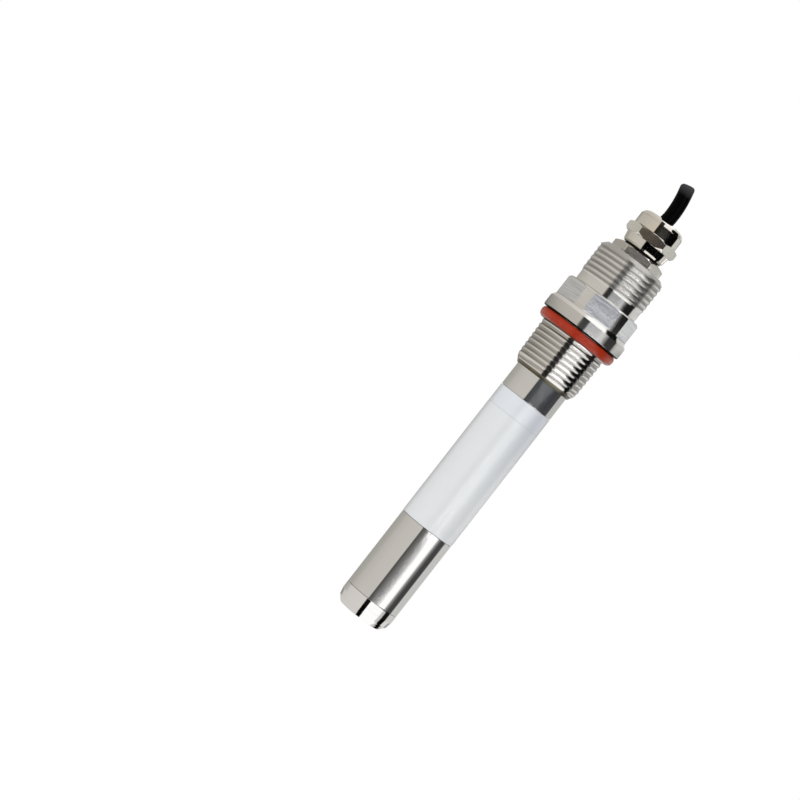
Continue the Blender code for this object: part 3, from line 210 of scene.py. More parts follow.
# A direction is placed by the wall of the probe that would mirror it to the camera: that wall faces half
# way between the direction and the camera.
place = add(scene_world, "TexCoord")
axes = add(scene_world, "SeparateXYZ", Vector=place.outputs["Generated"])
to_camera = {"operation": "ADD", "1": (0.0, -1.0, 0.0)}
halfway = add(scene_world, "VectorMath", to_camera, _0=place.outputs["Generated"])
facing = add(scene_world, "VectorMath", {"operation": "NORMALIZE"}, _0=halfway.outputs[0])
facing_axes = add(scene_world, "SeparateXYZ", Vector=facing.outputs[0])
forward = add(scene_world, "Math", {"operation": "MULTIPLY", "1": -1.0}, _0=facing_axes.outputs["Y"])
aside = add(
    scene_world, "Math", {"operation": "ARCTAN2"}, _0=facing_axes.outputs["X"], _1=forward.outputs[0]
)
half_turn = {"1": -math.pi / 2, "2": math.pi / 2, "3": 0.0, "4": 1.0}
turn = add(scene_world, "MapRange", half_turn, Value=aside.outputs[0])


def bearing_ramp(stops):
    """A ramp over the bearing, from -180 to 180 degrees with 0 at the camera, positive to the right. The
    bearing is twice the sideways angle of the wall that would mirror this direction to the camera."""
    ramp = add(scene_world, "ValToRGB", Fac=turn.outputs[0])
    elements = ramp.color_ramp.elements
    while len(elements) < len(stops):
        elements.new(0.5)
    for element, (degrees, colour) in zip(elements, stops):
        element.position = degrees / 360 + 0.5
        element.color = linear(colour)
    return ramp.outputs[0]


# What each part of the probe mirrors, from left to right: a pale wall, the dark camera stand, a white lamp
# screen, a black flag and a pale wall again. Each list holds bearings and the colours there.
PALE = [(-180, "#8C8C8A"), (-150, "#9A9893"), (-118, "#A6A49E"), (-95, "#B6B3AD"), (-60, "#BEBBB5")]
PALE += [(-18, "#C0BDB7")]
FACING_UP = [(-180, "#A09E9A"), (-110, "#B8B5B0"), (-17, "#D0CCC6"), (0, "#FFFFFF"), (62, "#FFFFFF")]
FACING_UP += [(72, "#C8C8C6"), (180, "#C0C0BE")]
TIP_WALL = [(-180, "#9A9894"), (-150, "#B8B5B1"), (-100, "#CBC8C4"), (-17, "#D0CCC9")]
TIP_ROOM = TIP_WALL + [(-15, "#D0CCC9"), (-14, "#050505"), (3, "#050505"), (4, "#FFFFFF")]
TIP_ROOM += [(62, "#FFFFFF"), (66, "#CCCCCC"), (77, "#BCBCBA"), (80, "#060606"), (102, "#060606")]
TIP_ROOM += [(104, "#D6D4D2")]
TIP_LOW_BAND = TIP_ROOM + [(180, "#DCDAD8")]
TIP_HIGH_BAND = TIP_ROOM + [(116, "#9A9896"), (180, "#908E8C")]
CONE_ROOM = TIP_WALL + [(-16, "#D0CCC9"), (-15, "#050505"), (4, "#050505"), (5, "#FFFFFF")]
CONE_ROOM += [(72, "#FFFFFF"), (76, "#CCCCCC")]
TIP_CONE_END = CONE_ROOM + [(94, "#BCBCBA"), (97, "#060606"), (128, "#060606"), (132, "#D6D4D2")]
TIP_CONE_END += [(180, "#DCDAD8")]
TIP_CONE = CONE_ROOM + [(84, "#BCBCBA"), (87, "#060606"), (112, "#060606"), (115, "#D6D4D2")]
TIP_CONE += [(180, "#DCDAD8")]
NUT_SKIRT = [(-180, "#8C8C8A"), (-118, "#B4B1AB"), (-60, "#C2BFB9"), (-18, "#C2BFB9"), (-15, "#040404")]
NUT_SKIRT += [(103, "#040404"), (105, "#CCCBC8"), (180, "#CCCBC8")]
TUBE_BELOW = PALE + [(-13, "#BEBBB7"), (-11, "#42413E"), (-3, "#5E5E5C"), (14, "#7C7C7C")]
TUBE_BELOW += [(28, "#AEAEAE"), (41, "#FFFFFF"), (61, "#FFFFFF"), (68, "#909090"), (78, "#505050")]
TUBE_BELOW += [(88, "#3E3E3E"), (96, "#404040"), (103, "#4C4C4C"), (106, "#C2C2C0"), (180, "#B0B0AE")]
TUBE_ABOVE = PALE + [(-12, "#B9B8B2"), (-11, "#3C3E40"), (-4, "#46484A"), (30, "#484B4E")]
TUBE_ABOVE += [(80, "#3A3C40"), (87, "#3E4044"), (91, "#424244"), (106, "#424244"), (109, "#B4B4B2")]
TUBE_ABOVE += [(180, "#A8A8A6")]
FLANGE_SIDE = [(-180, "#5C5C5A"), (-118, "#70706C"), (-95, "#84827E"), (-60, "#969490")]
FLANGE_SIDE += [(-18, "#A4A19C"), (-15, "#4C4C4C"), (4, "#505052"), (6, "#EAEAEC"), (62, "#EAEAEA")]
FLANGE_SIDE += [(70, "#484646"), (97, "#464444"), (100, "#8A8986"), (180, "#868684")]
HEXAGON_SIDE = [(-180, "#9C9C98"), (-120, "#C8C6C0"), (-92, "#C8C6C0"), (-84, "#CAC8C2")]
HEXAGON_SIDE += [(-18, "#C6C4BE"), (-14, "#181818"), (4, "#222224"), (6, "#4C4E52"), (36, "#525458")]
HEXAGON_SIDE += [(50, "#F0F0F0"), (58, "#F0F0F0"), (61, "#020202"), (99, "#020404"), (102, "#E0E2E0")]
HEXAGON_SIDE += [(120, "#F4F4F2"), (150, "#F4F4F2"), (180, "#C8C8C6")]
NECK_SIDE = PALE + [(-13, "#060606"), (1, "#0C0C0E"), (3, "#B4B8BD"), (50, "#B8BBC0")]
NECK_SIDE += [(54, "#060606"), (100, "#060808"), (103, "#B4B6B4"), (180, "#A4A4A2")]
GLAND_LEFT = [(-180, "#8C8C8A"), (-150, "#9A9893"), (-118, "#B4B1AB"), (-95, "#B6B3AD")]
GLAND_LEFT += [(-60, "#BEBAB2"), (-16, "#CAC1B6")]
GLAND_RIGHT = [(46, "#020202"), (103, "#020202"), (105, "#C8C8C6"), (180, "#B8B8B6")]
GLAND_SIDE = GLAND_LEFT + [(-14, "#2A2824"), (-9, "#44413C"), (36, "#44413E")] + GLAND_RIGHT
NUT_SIDE = GLAND_LEFT + [(-14, "#0E0D0B"), (-9, "#22211D"), (36, "#242322")] + GLAND_RIGHT
LEANING = PALE + [(-14, "#2A2A2A"), (4, "#2A2A2A"), (6, "#F2F2F2"), (62, "#E8E8E6"), (67, "#0C0C0C")]
LEANING += [(98, "#0C0C0C"), (101, "#D0D0CE"), (180, "#B4B4B2")]
UPPER_CONES = [(-180, "#A09E9A"), (-110, "#BCB9B4"), (-17, "#D2CFCA"), (-5, "#FFFFFF")]
UPPER_CONES += [(52, "#FFFFFF"), (56, "#080808"), (97, "#080808"), (100, "#C8C8C6"), (180, "#C0C0BE")]


def thread_flank(edge, far, near):
    """What a thread's flank mirrors: the black flag begins near a bearing, and the left wall goes from one
    colour far off to another near the camera."""
    stops = [(-180, "#64625C"), (-136, far), (-100, far), (-17, near), (-15, "#323230"), (4, "#323230")]
    stops += [(6, "#F0F0F0"), (edge - 4, "#F0F0F0"), (edge - 1, "#080808"), (97, "#080808")]
    return stops + [(100, "#9A9A98"), (180, "#909090")]


# The levels from straight below to straight above, in degrees: where each one starts, where it is full, and
# its colours. Upright walls mirror a narrow belt, in which a level is a height angle and each part has its
# own slice, since each is seen at its own height. Elsewhere a level is twice the lean of the wall.
BELT = (-6.1, 7.5)
LEVELS = [
    (-104, -102, TIP_CONE_END),
    (-90, -89.5, TIP_CONE),
    (-60, -57, thread_flank(86, "#94918A", "#BAB7B0")),
    (-50, -47, thread_flank(82, "#94918A", "#BAB7B0")),
    (-42, -40, thread_flank(77, "#928F88", "#BAB7B0")),
    (-36, -35, TIP_LOW_BAND),
    (-18, -17.5, NUT_SKIRT),
    (-11.5, -11, TIP_HIGH_BAND),
    (BELT[0], -5.9, TUBE_BELOW),
    (-2.2, -1.4, TUBE_ABOVE),
    (1.2, 1.6, FLANGE_SIDE),
    (2.18, 2.28, HEXAGON_SIDE),
    (2.74, 2.78, NECK_SIDE),
    (3.72, 3.8, GLAND_SIDE),
    (4.02, 4.04, NUT_SIDE),
    (BELT[1], 8.0, LEANING),
    (16, 18, thread_flank(64, "#908D86", "#B4B1AA")),
    (26, 29, thread_flank(60, "#827F78", "#AFACA5")),
    (36, 39, thread_flank(56, "#7A7770", "#A4A29C")),
    (46, 49, thread_flank(52, "#7A7770", "#A4A29C")),
    (60, 62, thread_flank(52, "#B8B4AC", "#C8C4BC")),
    (71, 73, UPPER_CONES),
    (84, 86, FACING_UP),
]
mirrored = bearing_ramp(FACING_UP)
for start, full, stops in LEVELS:
    in_belt = BELT[0] <= start <= BELT[1]
    part = 1.0 if in_belt else 0.5
    share = add(
        scene_world,
        "MapRange",
        {"1": math.sin(math.radians(start) * part), "2": math.sin(math.radians(full) * part)},
        Value=axes.outputs["Z"] if in_belt else facing_axes.outputs["Z"],
    )
    mirrored = add(
        scene_world, "MixRGB", _0=share.outputs[0], _1=mirrored, _2=bearing_ramp(stops)
    ).outputs[0]

# A bright screen that only the sleeve mirrors: it lies in the part of the belt between the tube's two ends.
SCREEN = [(8, "#000000"), (18, "#FFFFFF"), (48, "#FFFFFF"), (56, "#000000"), (92, "#000000")]
SCREEN += [(106, "#686868"), (140, "#686868"), (165, "#000000")]
screen_foot, screen_top = {"1": -0.045, "2": -0.039}, {"1": -0.029, "2": -0.023, "3": 1.0, "4": 0.0}
over_foot = add(scene_world, "MapRange", screen_foot, Value=axes.outputs["Z"])
under_top = add(scene_world, "MapRange", screen_top, Value=axes.outputs["Z"])
height_mask = add(
    scene_world, "Math", {"operation": "MULTIPLY"}, _0=over_foot.outputs[0], _1=under_top.outputs[0]
)
screen_colour = add(
    scene_world, "MixRGB", {"1": linear("#000000")}, _0=height_mask.outputs[0], _2=bearing_ramp(SCREEN)
)
screen = add(scene_world, "Background", {"Strength": 16.0}, Color=screen_colour.outputs[0])
mirror_room = add(scene_world, "Background", {"Strength": 1.45}, Color=mirrored)
room = add(scene_world, "AddShader", _0=mirror_room.outputs[0], _1=screen.outputs[0])
ambient = add(scene_world, "Background", {"Color": linear("#FFFFFF"), "Strength": 0.74})
white = add(scene_world, "Background", {"Color": linear("#FFFFFF"), "Strength": 1.0})
rays = add(scene_world, "LightPath")
lit = add(
    scene_world, "MixShader", _0=rays.outputs["Is Glossy Ray"], _1=ambient.outputs[0], _2=room.outputs[0]
)
seen = add(
    scene_world, "MixShader", _0=rays.outputs["Is Camera Ray"], _1=lit.outputs[0], _2=white.outputs[0]
)
add(scene_world, "OutputWorld", Surface=seen.outputs[0])

# Floor: a sheet of matt white paper. The camera sees it nearly pure white and still sees a shadow on it,
# and the metal doesn't mirror it.
FLOOR_HEIGHT = -0.25
FLOOR_HALF = 1.6
floor_mesh = bpy.data.meshes.new("floor")
floor_mesh.from_pydata(
    [(x * FLOOR_HALF, y * FLOOR_HALF, FLOOR_HEIGHT) for x, y in ((-1, -1), (1, -1), (1, 1), (-1, 1))],
    [],
    [(0, 1, 2, 3)],
)
floor = bpy.data.objects.new("floor", floor_mesh)
bpy.context.scene.collection.objects.link(floor)
paper, shader = new_material("white_paper", Roughness=0.9, Base_Color=linear("#FFFFFF"))
rays = add(paper, "LightPath")
glow = add(paper, "Emission", {"Color": linear("#FFFFFF"), "Strength": 0.85})
dim = add(paper, "BsdfDiffuse", {"Color": (0.35, 0.35, 0.35, 1.0)})
shown = add(paper, "AddShader", _0=glow.outputs[0], _1=dim.outputs[0])
surface = add(
    paper, "MixShader", _0=rays.outputs["Is Camera Ray"], _1=shader.outputs[0], _2=shown.outputs[0]
)
link(paper, surface.outputs[0], paper.node_tree.nodes["Material Output"], "Surface")
floor_mesh.materials.append(paper)
floor.visible_glossy = False

# Key lamp: one large soft box above the camera, to its left. It lights the plastic and the rubber, and the
# metal mirrors the room in its place.


def soft_lamp(name, place, target, size, power):
    """A rectangular area lamp whose light falls along the line from its place to its target."""
    data = bpy.data.lights.new(name, "AREA")
    data.shape = "RECTANGLE"
    data.size, data.size_y = size
    data.energy = power
    lamp = bpy.data.objects.new(name, data)
    bpy.context.scene.collection.objects.link(lamp)
    aim = Vector(target) - Vector(place)
    lamp.matrix_world = Matrix.Translation(place) @ aim.to_track_quat("-Z", "Y").to_matrix().to_4x4()
    return lamp


key = soft_lamp("key_lamp", (-0.25, -0.95, 0.75), (0, 0, 0.09), (0.6, 0.6), 4.0)
key.visible_glossy = False

# Tip cap: turned from stainless bar, its end edge broken by a soft cone. A spigot with an O-ring goes up
# into the tube. A sapphire window sits in its end face.
PROFILE_STEPS = 4
ROUND_COLUMNS = 192


def eased(corners, radii, steps=PROFILE_STEPS):
    """Round the corners of a closed outline. Each corner becomes a parabola that leaves one side and
    joins the next at its radius from the corner, but at most 0.4 of either side away. A point a little
    further out on each side keeps the straight part's shading straight."""
    corners = np.asarray(corners, float)
    before = np.roll(corners, 1, axis=0) - corners
    after = np.roll(corners, -1, axis=0) - corners
    reach_before = np.linalg.norm(before, axis=1, keepdims=True)
    reach_after = np.linalg.norm(after, axis=1, keepdims=True)
    radii = np.broadcast_to(np.asarray(radii, float), (len(corners),))[:, None]
    first = corners + before * np.minimum(radii / reach_before, 0.4)
    last = corners + after * np.minimum(radii / reach_after, 0.4)
    t = np.linspace(0.0, 1.0, steps)[None, :, None]
    arcs = (1 - t) ** 2 * first[:, None] + 2 * t * (1 - t) * corners[:, None] + t**2 * last[:, None]
    held_before = corners + before * np.minimum(1.3 * radii / reach_before, 0.47)
    held_after = corners + after * np.minimum(1.3 * radii / reach_after, 0.47)
    return np.concatenate([held_before[:, None], arcs, held_after[:, None]], axis=1).reshape(-1, 2)


def grid_mesh(name, points, closed_rows=True, sharp=30.0):
    """A mesh on a grid of points, rows by columns, whose columns close round the axis. With closed rows
    the last row joins the first. Without, the first and last rows close to one point each."""
    rows, columns = points.shape[:2]
    index = np.arange(rows * columns).reshape(rows, columns)
    right = np.roll(index, -1, axis=1)
    below, below_right = np.roll(index, -1, axis=0), np.roll(right, -1, axis=0)
    quads = np.stack([index, below, below_right, right], axis=-1)
    vertices = points.reshape(-1, 3)
    fans = np.zeros((0, 3), int)
    if not closed_rows:
        quads = quads[:-1]
        vertices = np.vstack([vertices, points[0].mean(axis=0), points[-1].mean(axis=0)])
        top = np.stack([index[0], right[0], np.full(columns, rows * columns)], axis=-1)
        foot = np.stack([right[-1], index[-1], np.full(columns, rows * columns + 1)], axis=-1)
        fans = np.vstack([top, foot])
    quads = quads.reshape(-1, 4)
    loops = np.concatenate([quads.ravel(), fans.ravel()])
    starts = np.concatenate([np.arange(len(quads)) * 4, quads.size + np.arange(len(fans)) * 3])
    mesh = bpy.data.meshes.new(name)
    mesh.vertices.add(len(vertices))
    mesh.vertices.foreach_set("co", vertices.ravel())
    mesh.loops.add(len(loops))
    mesh.loops.foreach_set("vertex_index", loops)
    mesh.polygons.add(len(starts))
    mesh.polygons.foreach_set("loop_start", starts)
    mesh.update(calc_edges=True)
    mesh.validate()
    mesh.shade_smooth()
    mesh.set_sharp_from_angle(angle=math.radians(sharp))
    made = bpy.data.objects.new(name, mesh)
    bpy.context.scene.collection.objects.link(made)
    return made


def turned(name, outline, columns=ROUND_COLUMNS, closed_rows=True, sharp=30.0):
    """Turn an outline of (radius, height) pairs about Z: x = r cos(angle), y = r sin(angle). The
    outline runs down the outer side and up the inner one, so that the faces point outwards."""
    angle = np.linspace(0.0, 2 * np.pi, columns, endpoint=False)[None, :]
    radius, height = outline[:, :1], outline[:, 1:]
    points = np.stack([radius * np.cos(angle), radius * np.sin(angle), height + 0 * angle], axis=-1)
    return grid_mesh(name, points, closed_rows, sharp)


MM = 0.001

# The outline in millimetres: down the spigot with its O-ring groove and down the cap, over the soft cone,
# and up the window's seat. Each corner is rounded by so many tenths of a millimetre.
TIP_OUTLINE = [(7.36, 17.1), (8.85, 17.1), (8.85, 11.98), (8.0, 11.98), (8.0, 10.7), (8.85, 10.7)]
TIP_OUTLINE += [(8.85, 7.5), (10.69, 7.5), (10.64, 4.5), (10.18, 2.15), (9.38, 1.15), (8.45, 0.1)]
TIP_OUTLINE += [(8.3, 0.0), (6.8, 0.0), (6.8, 3.0), (5.6, 3.0), (5.6, 4.2), (7.36, 4.2)]
TIP_EASING = np.array([1, 2, 1, 1, 1, 1, 1, 1.2, 0.3, 0.3, 0.3, 0.3, 1, 1, 1, 1, 1, 1]) * 0.1
tip_cap = turned("tip_cap_skin", eased(TIP_OUTLINE, TIP_EASING) * MM)

# Turned and polished 316 stainless steel: a warm grey mirror, a little blurred along the turning marks.
# The marks are about 0.1 mm apart, far finer than the render shows, so they are drawn at 0.4 mm.
TURNING_MARK = 0.0004


def turned_steel(name, colour, roughness, marks):
    """Metal with marks round the axis: noise read along height and radius only. A slow haze lets its
    roughness vary from 0.75 to 1.3 times the value given."""
    made, shader = new_material(name, Metallic=1.0, Roughness=roughness)
    shader.inputs["Base Color"].default_value = linear(colour)
    place = add(made, "TexCoord")
    axes = add(made, "SeparateXYZ", Vector=place.outputs["Object"])
    flat = add(made, "CombineXYZ", X=axes.outputs["X"], Y=axes.outputs["Y"])
    radius = add(made, "VectorMath", {"operation": "LENGTH"}, _0=flat.outputs[0])
    along = add(made, "CombineXYZ", X=radius.outputs["Value"], Z=axes.outputs["Z"])
    fine = {"Scale": 1.0 / TURNING_MARK, "Detail": 2.0, "Roughness": 0.6}
    lines = add(made, "TexNoise", fine, Vector=along.outputs[0])
    grained(made, shader, lines.outputs["Fac"], relief=(marks, 0.00002))
    haze = add(made, "TexNoise", {"Scale": 90.0, "Detail": 3.0}, Vector=place.outputs["Object"])
    spread = {"1": 0.3, "2": 0.7, "3": roughness * 0.75, "4": roughness * 1.3}
    blur = add(made, "MapRange", spread, Value=haze.outputs["Fac"])
    link(made, blur.outputs[0], shader, "Roughness")
    return made


polished_tube = turned_steel("polished_stainless_tube", "#D8D7D6", 0.06, 0.03)
tip_cap.data.materials.append(polished_tube)
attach(tip_cap, "sensor")
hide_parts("tip_cap")

# Tip window: a ground and polished sapphire disc with bevelled rims, held in the cap's end face against
# its seal. Its face lies a hair behind the cap's.
WINDOW_OUTLINE = np.array([(1.5, 2.15), (6.3, 2.15), (6.5, 1.95), (6.5, 0.35), (6.3, 0.15), (1.5, 0.15)])
window_rows = np.vstack([[0.2, 2.15], WINDOW_OUTLINE, [0.2, 0.15]]) * MM
tip_window = turned("tip_window_skin", window_rows, 96, closed_rows=False)
sapphire, shader = new_material("polished_sapphire", Roughness=0.02, IOR=1.77)
shader.inputs["Base Color"].default_value = linear("#F4F8FB")
shader.inputs["Transmission Weight"].default_value = 1.0
tip_window.data.materials.append(sapphire)
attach(tip_window, "sensor")
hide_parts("tip_window")

# Housing tube: seamless stainless tube, 21.3 mm across, polished, and turned down a little where the
# sleeve lies. The tip cap's spigot closes it below, and above it is welded into the process fitting.
TUBE_RADIUS = 10.65
TUBE_BORE = 9.15
TUBE_FOOT, TUBE_TOP = 7.62, 119.6
SLEEVE_FOOT, SLEEVE_TOP = 39.1, 95.4
RECESS_RADIUS = 10.0
RECESS_GAP = 0.15
TUBE_OUTLINE = np.array(
    [
        (TUBE_BORE, TUBE_TOP),
        (TUBE_RADIUS, TUBE_TOP),
        (TUBE_RADIUS, SLEEVE_TOP + RECESS_GAP),
        (RECESS_RADIUS, SLEEVE_TOP + RECESS_GAP),
        (RECESS_RADIUS, SLEEVE_FOOT - RECESS_GAP),
        (TUBE_RADIUS, SLEEVE_FOOT - RECESS_GAP),
        (TUBE_RADIUS, TUBE_FOOT),
        (TUBE_BORE, TUBE_FOOT),
    ]
)
tube = turned("housing_tube_skin", eased(TUBE_OUTLINE, 0.08) * MM)
tube.data.materials.append(polished_tube)
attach(tube, "sensor")
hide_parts("housing_tube")

# Sleeve: a thin moulded white sleeve, shrunk into the tube's turned recess, with softened ends. A very
# small step runs round it near its top, and it stands a tenth of a millimetre proud of the tube.
SLEEVE_RADIUS = 10.75
SLEEVE_BORE = 10.15
SLEEVE_RIDGE = 88.2
SLEEVE_STEP = 0.04
SLEEVE_OUTLINE = np.array(
    [
        (SLEEVE_BORE, SLEEVE_TOP),
        (SLEEVE_RADIUS - SLEEVE_STEP, SLEEVE_TOP),
        (SLEEVE_RADIUS - SLEEVE_STEP, SLEEVE_RIDGE + 0.1),
        (SLEEVE_RADIUS, SLEEVE_RIDGE),
        (SLEEVE_RADIUS, SLEEVE_FOOT),
        (SLEEVE_BORE, SLEEVE_FOOT),
    ]
)
sleeve = turned("white_sleeve_skin", eased(SLEEVE_OUTLINE, (0.05, 0.2, 0.02, 0.02, 0.2, 0.05)) * MM)

# Moulded white acetal: bright and slightly cool, satin, with a faint unevenness of the moulding. It is
# a shade cooler above the step. Its right side towards the top and its rims are painted darker: painted
# shade.
acetal, shader = new_material("moulded_white_acetal", Roughness=0.36, IOR=1.6)
shader.inputs["Coat Weight"].default_value = 0.8
shader.inputs["Coat Roughness"].default_value = 0.2
place = add(acetal, "TexCoord")
cloud = add(acetal, "TexNoise", {"Scale": 60.0, "Detail": 4.0}, Vector=place.outputs["Object"])
tone = add(acetal, "MixRGB", {"1": linear("#E2E4E6"), "2": linear("#DCDFE1")}, _0=cloud.outputs["Fac"])
axes = add(acetal, "SeparateXYZ", Vector=place.outputs["Object"])
over_step = {"1": (SLEEVE_RIDGE - 0.4) * MM, "2": (SLEEVE_RIDGE + 0.4) * MM}
collar = add(acetal, "MapRange", over_step, Value=axes.outputs["Z"])
banded = add(acetal, "MixRGB", {"2": linear("#DCE0E5")}, _0=collar.outputs[0], _1=tone.outputs[0])
to_step = {"operation": "SUBTRACT", "1": SLEEVE_RIDGE * MM}
step = add(acetal, "Math", to_step, _0=axes.outputs["Z"])
near_step = add(acetal, "Math", {"operation": "ABSOLUTE"}, _0=step.outputs[0])
thin_line = {"1": 0.0001, "2": 0.0003, "3": 0.3, "4": 0.0}
line_share = add(acetal, "MapRange", thin_line, Value=near_step.outputs[0])
banded = add(acetal, "MixRGB", {"2": linear("#B4B8BC")}, _0=line_share.outputs[0], _1=banded.outputs[0])
# Painted shade: the right side is painted darker, more so towards the top.
to_right = add(acetal, "MapRange", {"1": 0.002, "2": 0.007}, Value=axes.outputs["X"])
to_top = add(acetal, "MapRange", {"1": 0.055, "2": 0.088, "4": 0.55}, Value=axes.outputs["Z"])
painted_right_shade = add(acetal, "Math", {"operation": "MULTIPLY"}, _0=to_right.outputs[0], _1=to_top.outputs[0])
banded = add(acetal, "MixRGB", {"2": linear("#BFC3CC")}, _0=painted_right_shade.outputs[0], _1=banded.outputs[0])
# Painted shade: the rims, where the surface turns away from the camera, are painted dimmer.
rim = add(acetal, "LayerWeight", {"Blend": 0.5})
edge_share = add(acetal, "MapRange", {"1": 0.5, "2": 1.0, "4": 1.0}, Value=rim.outputs["Facing"])
rim_shaded_tone = add(acetal, "MixRGB", {"2": linear("#B4B7BA")}, _0=edge_share.outputs[0], _1=banded.outputs[0])
link(acetal, rim_shaded_tone.outputs[0], shader, "Base Color")
pebble = add(acetal, "TexNoise", {"Scale": 1500.0, "Detail": 2.0}, Vector=place.outputs["Object"])
grained(acetal, shader, pebble.outputs["Fac"], relief=(0.08, 0.00003))
sleeve.data.materials.append(acetal)
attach(sleeve, "sensor")
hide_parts("white_sleeve")

# Process fitting: one piece of stainless bar, turned, threaded M27 x 2 at both ends and milled to six
# flats 28 mm across. The tube is set into it from below and the cable gland is screwed in from above.
FITTING_COLUMNS = 216
THREAD_PITCH = 2.0
THREAD_DEPTH = 0.32
THREAD_CREST = 0.2
THREAD_ROWS_PER_PITCH = 18
FITTING_FOOT, FITTING_TOP = 104.8, 157.6
COLLAR_TOP = 106.5
LOWER_THREAD_TOP = 123.6
FLANGE_FOOT = 126.7
HEX_TOP = 140.65
NECK_TOP = 144.2
NECK_RADIUS = 12.82
FLAT_DISTANCE = 14.0
FLAT_FOOT = 132.7
HEX_RADIUS = 15.1
HEX_CONE_TOP = 140.5
HEX_CONE_RADIUS = 14.45
HEX_TURN = math.radians(6.8)
HEX_EDGE = 0.12
FLAT_TOP = 140.2
UPPER_CREST = 13.35
LOWER_CREST_TOP, LOWER_CREST_FOOT = 13.12, 12.78
WELD_TOP = 106.2
GLAND_SHADOW_ROWS, GLAND_SHADOW_SHARE = 15, 0.3
PAIR_WIDTH = 0.012


def hex_columns(count, distance, limit, turn):
    """Angles round the axis: a regular set, and close pairs where the six flats meet the round. A flat
    ends where its distance over the cosine of the angle from its normal reaches the limit. Regular angles
    closer to a pair than half its width are left out."""
    half = math.acos(distance / limit)
    beyond = half + PAIR_WIDTH
    ends = np.add.outer(np.arange(6) * np.pi / 3, [-beyond, -half, half, beyond]).ravel()
    regular = np.linspace(0.0, 2 * np.pi, count, endpoint=False)
    angles = np.concatenate([regular, (ends + turn - np.pi / 2) % (2 * np.pi)])
    angles = np.sort(angles)
    apart = np.diff(angles, append=angles[0] + 2 * np.pi)
    from_ends = angles[:, None] - ends[None] - turn + np.pi / 2
    near_end = np.abs((from_ends + np.pi) % (2 * np.pi) - np.pi).min(axis=1)
    kept = (near_end < 1e-6) | (near_end > PAIR_WIDTH / 2)
    return angles[kept & (apart > 1e-7)][None, :]


def hex_distance(angle, distance, limit, turn):
    """Distance from the axis to a six-sided prism cut back to a cylinder: the flat's distance over the
    cosine of the angle from the nearest flat's normal, and at most the limit."""
    off = (angle + np.pi / 2 - turn + np.pi / 6) % (np.pi / 3) - np.pi / 6
    return np.minimum(distance / np.cos(off), limit)


def thread_radius(angle, height, root, crest):
    """Right-hand rolled thread: the crest's height rises one pitch a turn. Between root and crest the
    radius follows a half cosine over the flank, so that crest and root are rounded."""
    turns = height / THREAD_PITCH - angle / (2 * np.pi)
    off = np.abs(turns % 1.0 - 0.5) * THREAD_PITCH
    flank = (THREAD_PITCH - THREAD_CREST) / 2
    t = np.clip((THREAD_CREST / 2 + flank - off) / flank, 0.0, 1.0)
    return root + (crest - root) * (0.5 - 0.5 * np.cos(np.pi * t))


def rows_of(outline, angle):
    """An outline's (radius, height) pairs as rows of a grid, the same at every angle."""
    outline = np.asarray(outline, float)
    return outline[:, :1] + 0 * angle, outline[:, 1:] + 0 * angle


def open_eased(corners, radii, steps=PROFILE_STEPS):
    """Round an open outline's corners and keep its two ends where they are."""
    return eased(corners, radii, steps)[steps + 1 : -steps - 1]


def from_blocks(name, blocks, angle, sharp):
    """Stack blocks of rows, in millimetres, and turn each row about Z: x = r cos(angle), y = r sin(angle),
    with a radius and a height of its own at every angle."""
    radius = np.vstack([radii for radii, _ in blocks]) * MM
    height = np.vstack([heights for _, heights in blocks]) * MM
    points = np.stack([radius * np.cos(angle), radius * np.sin(angle), height], axis=-1)
    return grid_mesh(name, points, sharp=sharp)


# The fitting's rows go down its outside and up its bore, as blocks of (radius, height). First the rim
# that the gland sits on and the upper thread, which runs out under an envelope at its ends.
angle = hex_columns(FITTING_COLUMNS, FLAT_DISTANCE, HEX_RADIUS, HEX_TURN)
row_step = THREAD_PITCH / THREAD_ROWS_PER_PITCH
blocks = [rows_of([(10.6, FITTING_TOP)], angle)]
upper_rows = np.arange(FITTING_TOP, NECK_TOP - 0.01, -row_step)[:, None]
upper_envelope = np.interp(
    -upper_rows,
    [-FITTING_TOP, -156.0, -145.4, -NECK_TOP],
    [11.75, UPPER_CREST, UPPER_CREST - 0.12, NECK_RADIUS],
)
upper_thread = thread_radius(angle, upper_rows, UPPER_CREST - THREAD_DEPTH, UPPER_CREST)
upper_block = len(blocks)
blocks.append((np.minimum(upper_thread, upper_envelope), upper_rows + 0 * angle))

# The neck, the cone that cuts the hexagon's corners back, the flats, and the round they run out into.
neck_corners = [(NECK_RADIUS, NECK_TOP - 0.1), (NECK_RADIUS, HEX_TOP + 0.1), (13.5, HEX_TOP - 0.1)]
blocks.append(rows_of([(NECK_RADIUS, NECK_TOP), (NECK_RADIUS, NECK_TOP - 0.06)], angle))
blocks.append(rows_of(open_eased(neck_corners, 0.15), angle))
reach = hex_distance(angle, FLAT_DISTANCE, HEX_RADIUS, HEX_TURN)
cone_foot = HEX_CONE_TOP - np.maximum(reach - HEX_CONE_RADIUS, 0.0)
cone_end = np.minimum(reach, HEX_CONE_RADIUS)
flat_radius = np.vstack([cone_end - 0.1, cone_end - 0.01, reach - 0.05, reach, reach, reach])
flat_height = np.vstack(
    [
        0 * reach + HEX_CONE_TOP + 0.05,
        0 * reach + HEX_CONE_TOP,
        cone_foot - 0.03,
        cone_foot - HEX_EDGE,
        cone_foot - 0.25,
        0 * reach + 136.0,
    ]
)
blocks.append((flat_radius, flat_height))
at_round = HEX_RADIUS + 0 * reach
flat_end = np.vstack([reach, reach, reach + 0.02, at_round - 0.03, at_round])
flat_end_height = [133.2, FLAT_FOOT + 0.06, FLAT_FOOT, FLAT_FOOT - 0.02, FLAT_FOOT - 0.08]
blocks.append((np.minimum(flat_end, HEX_RADIUS), np.array(flat_end_height)[:, None] + 0 * angle))

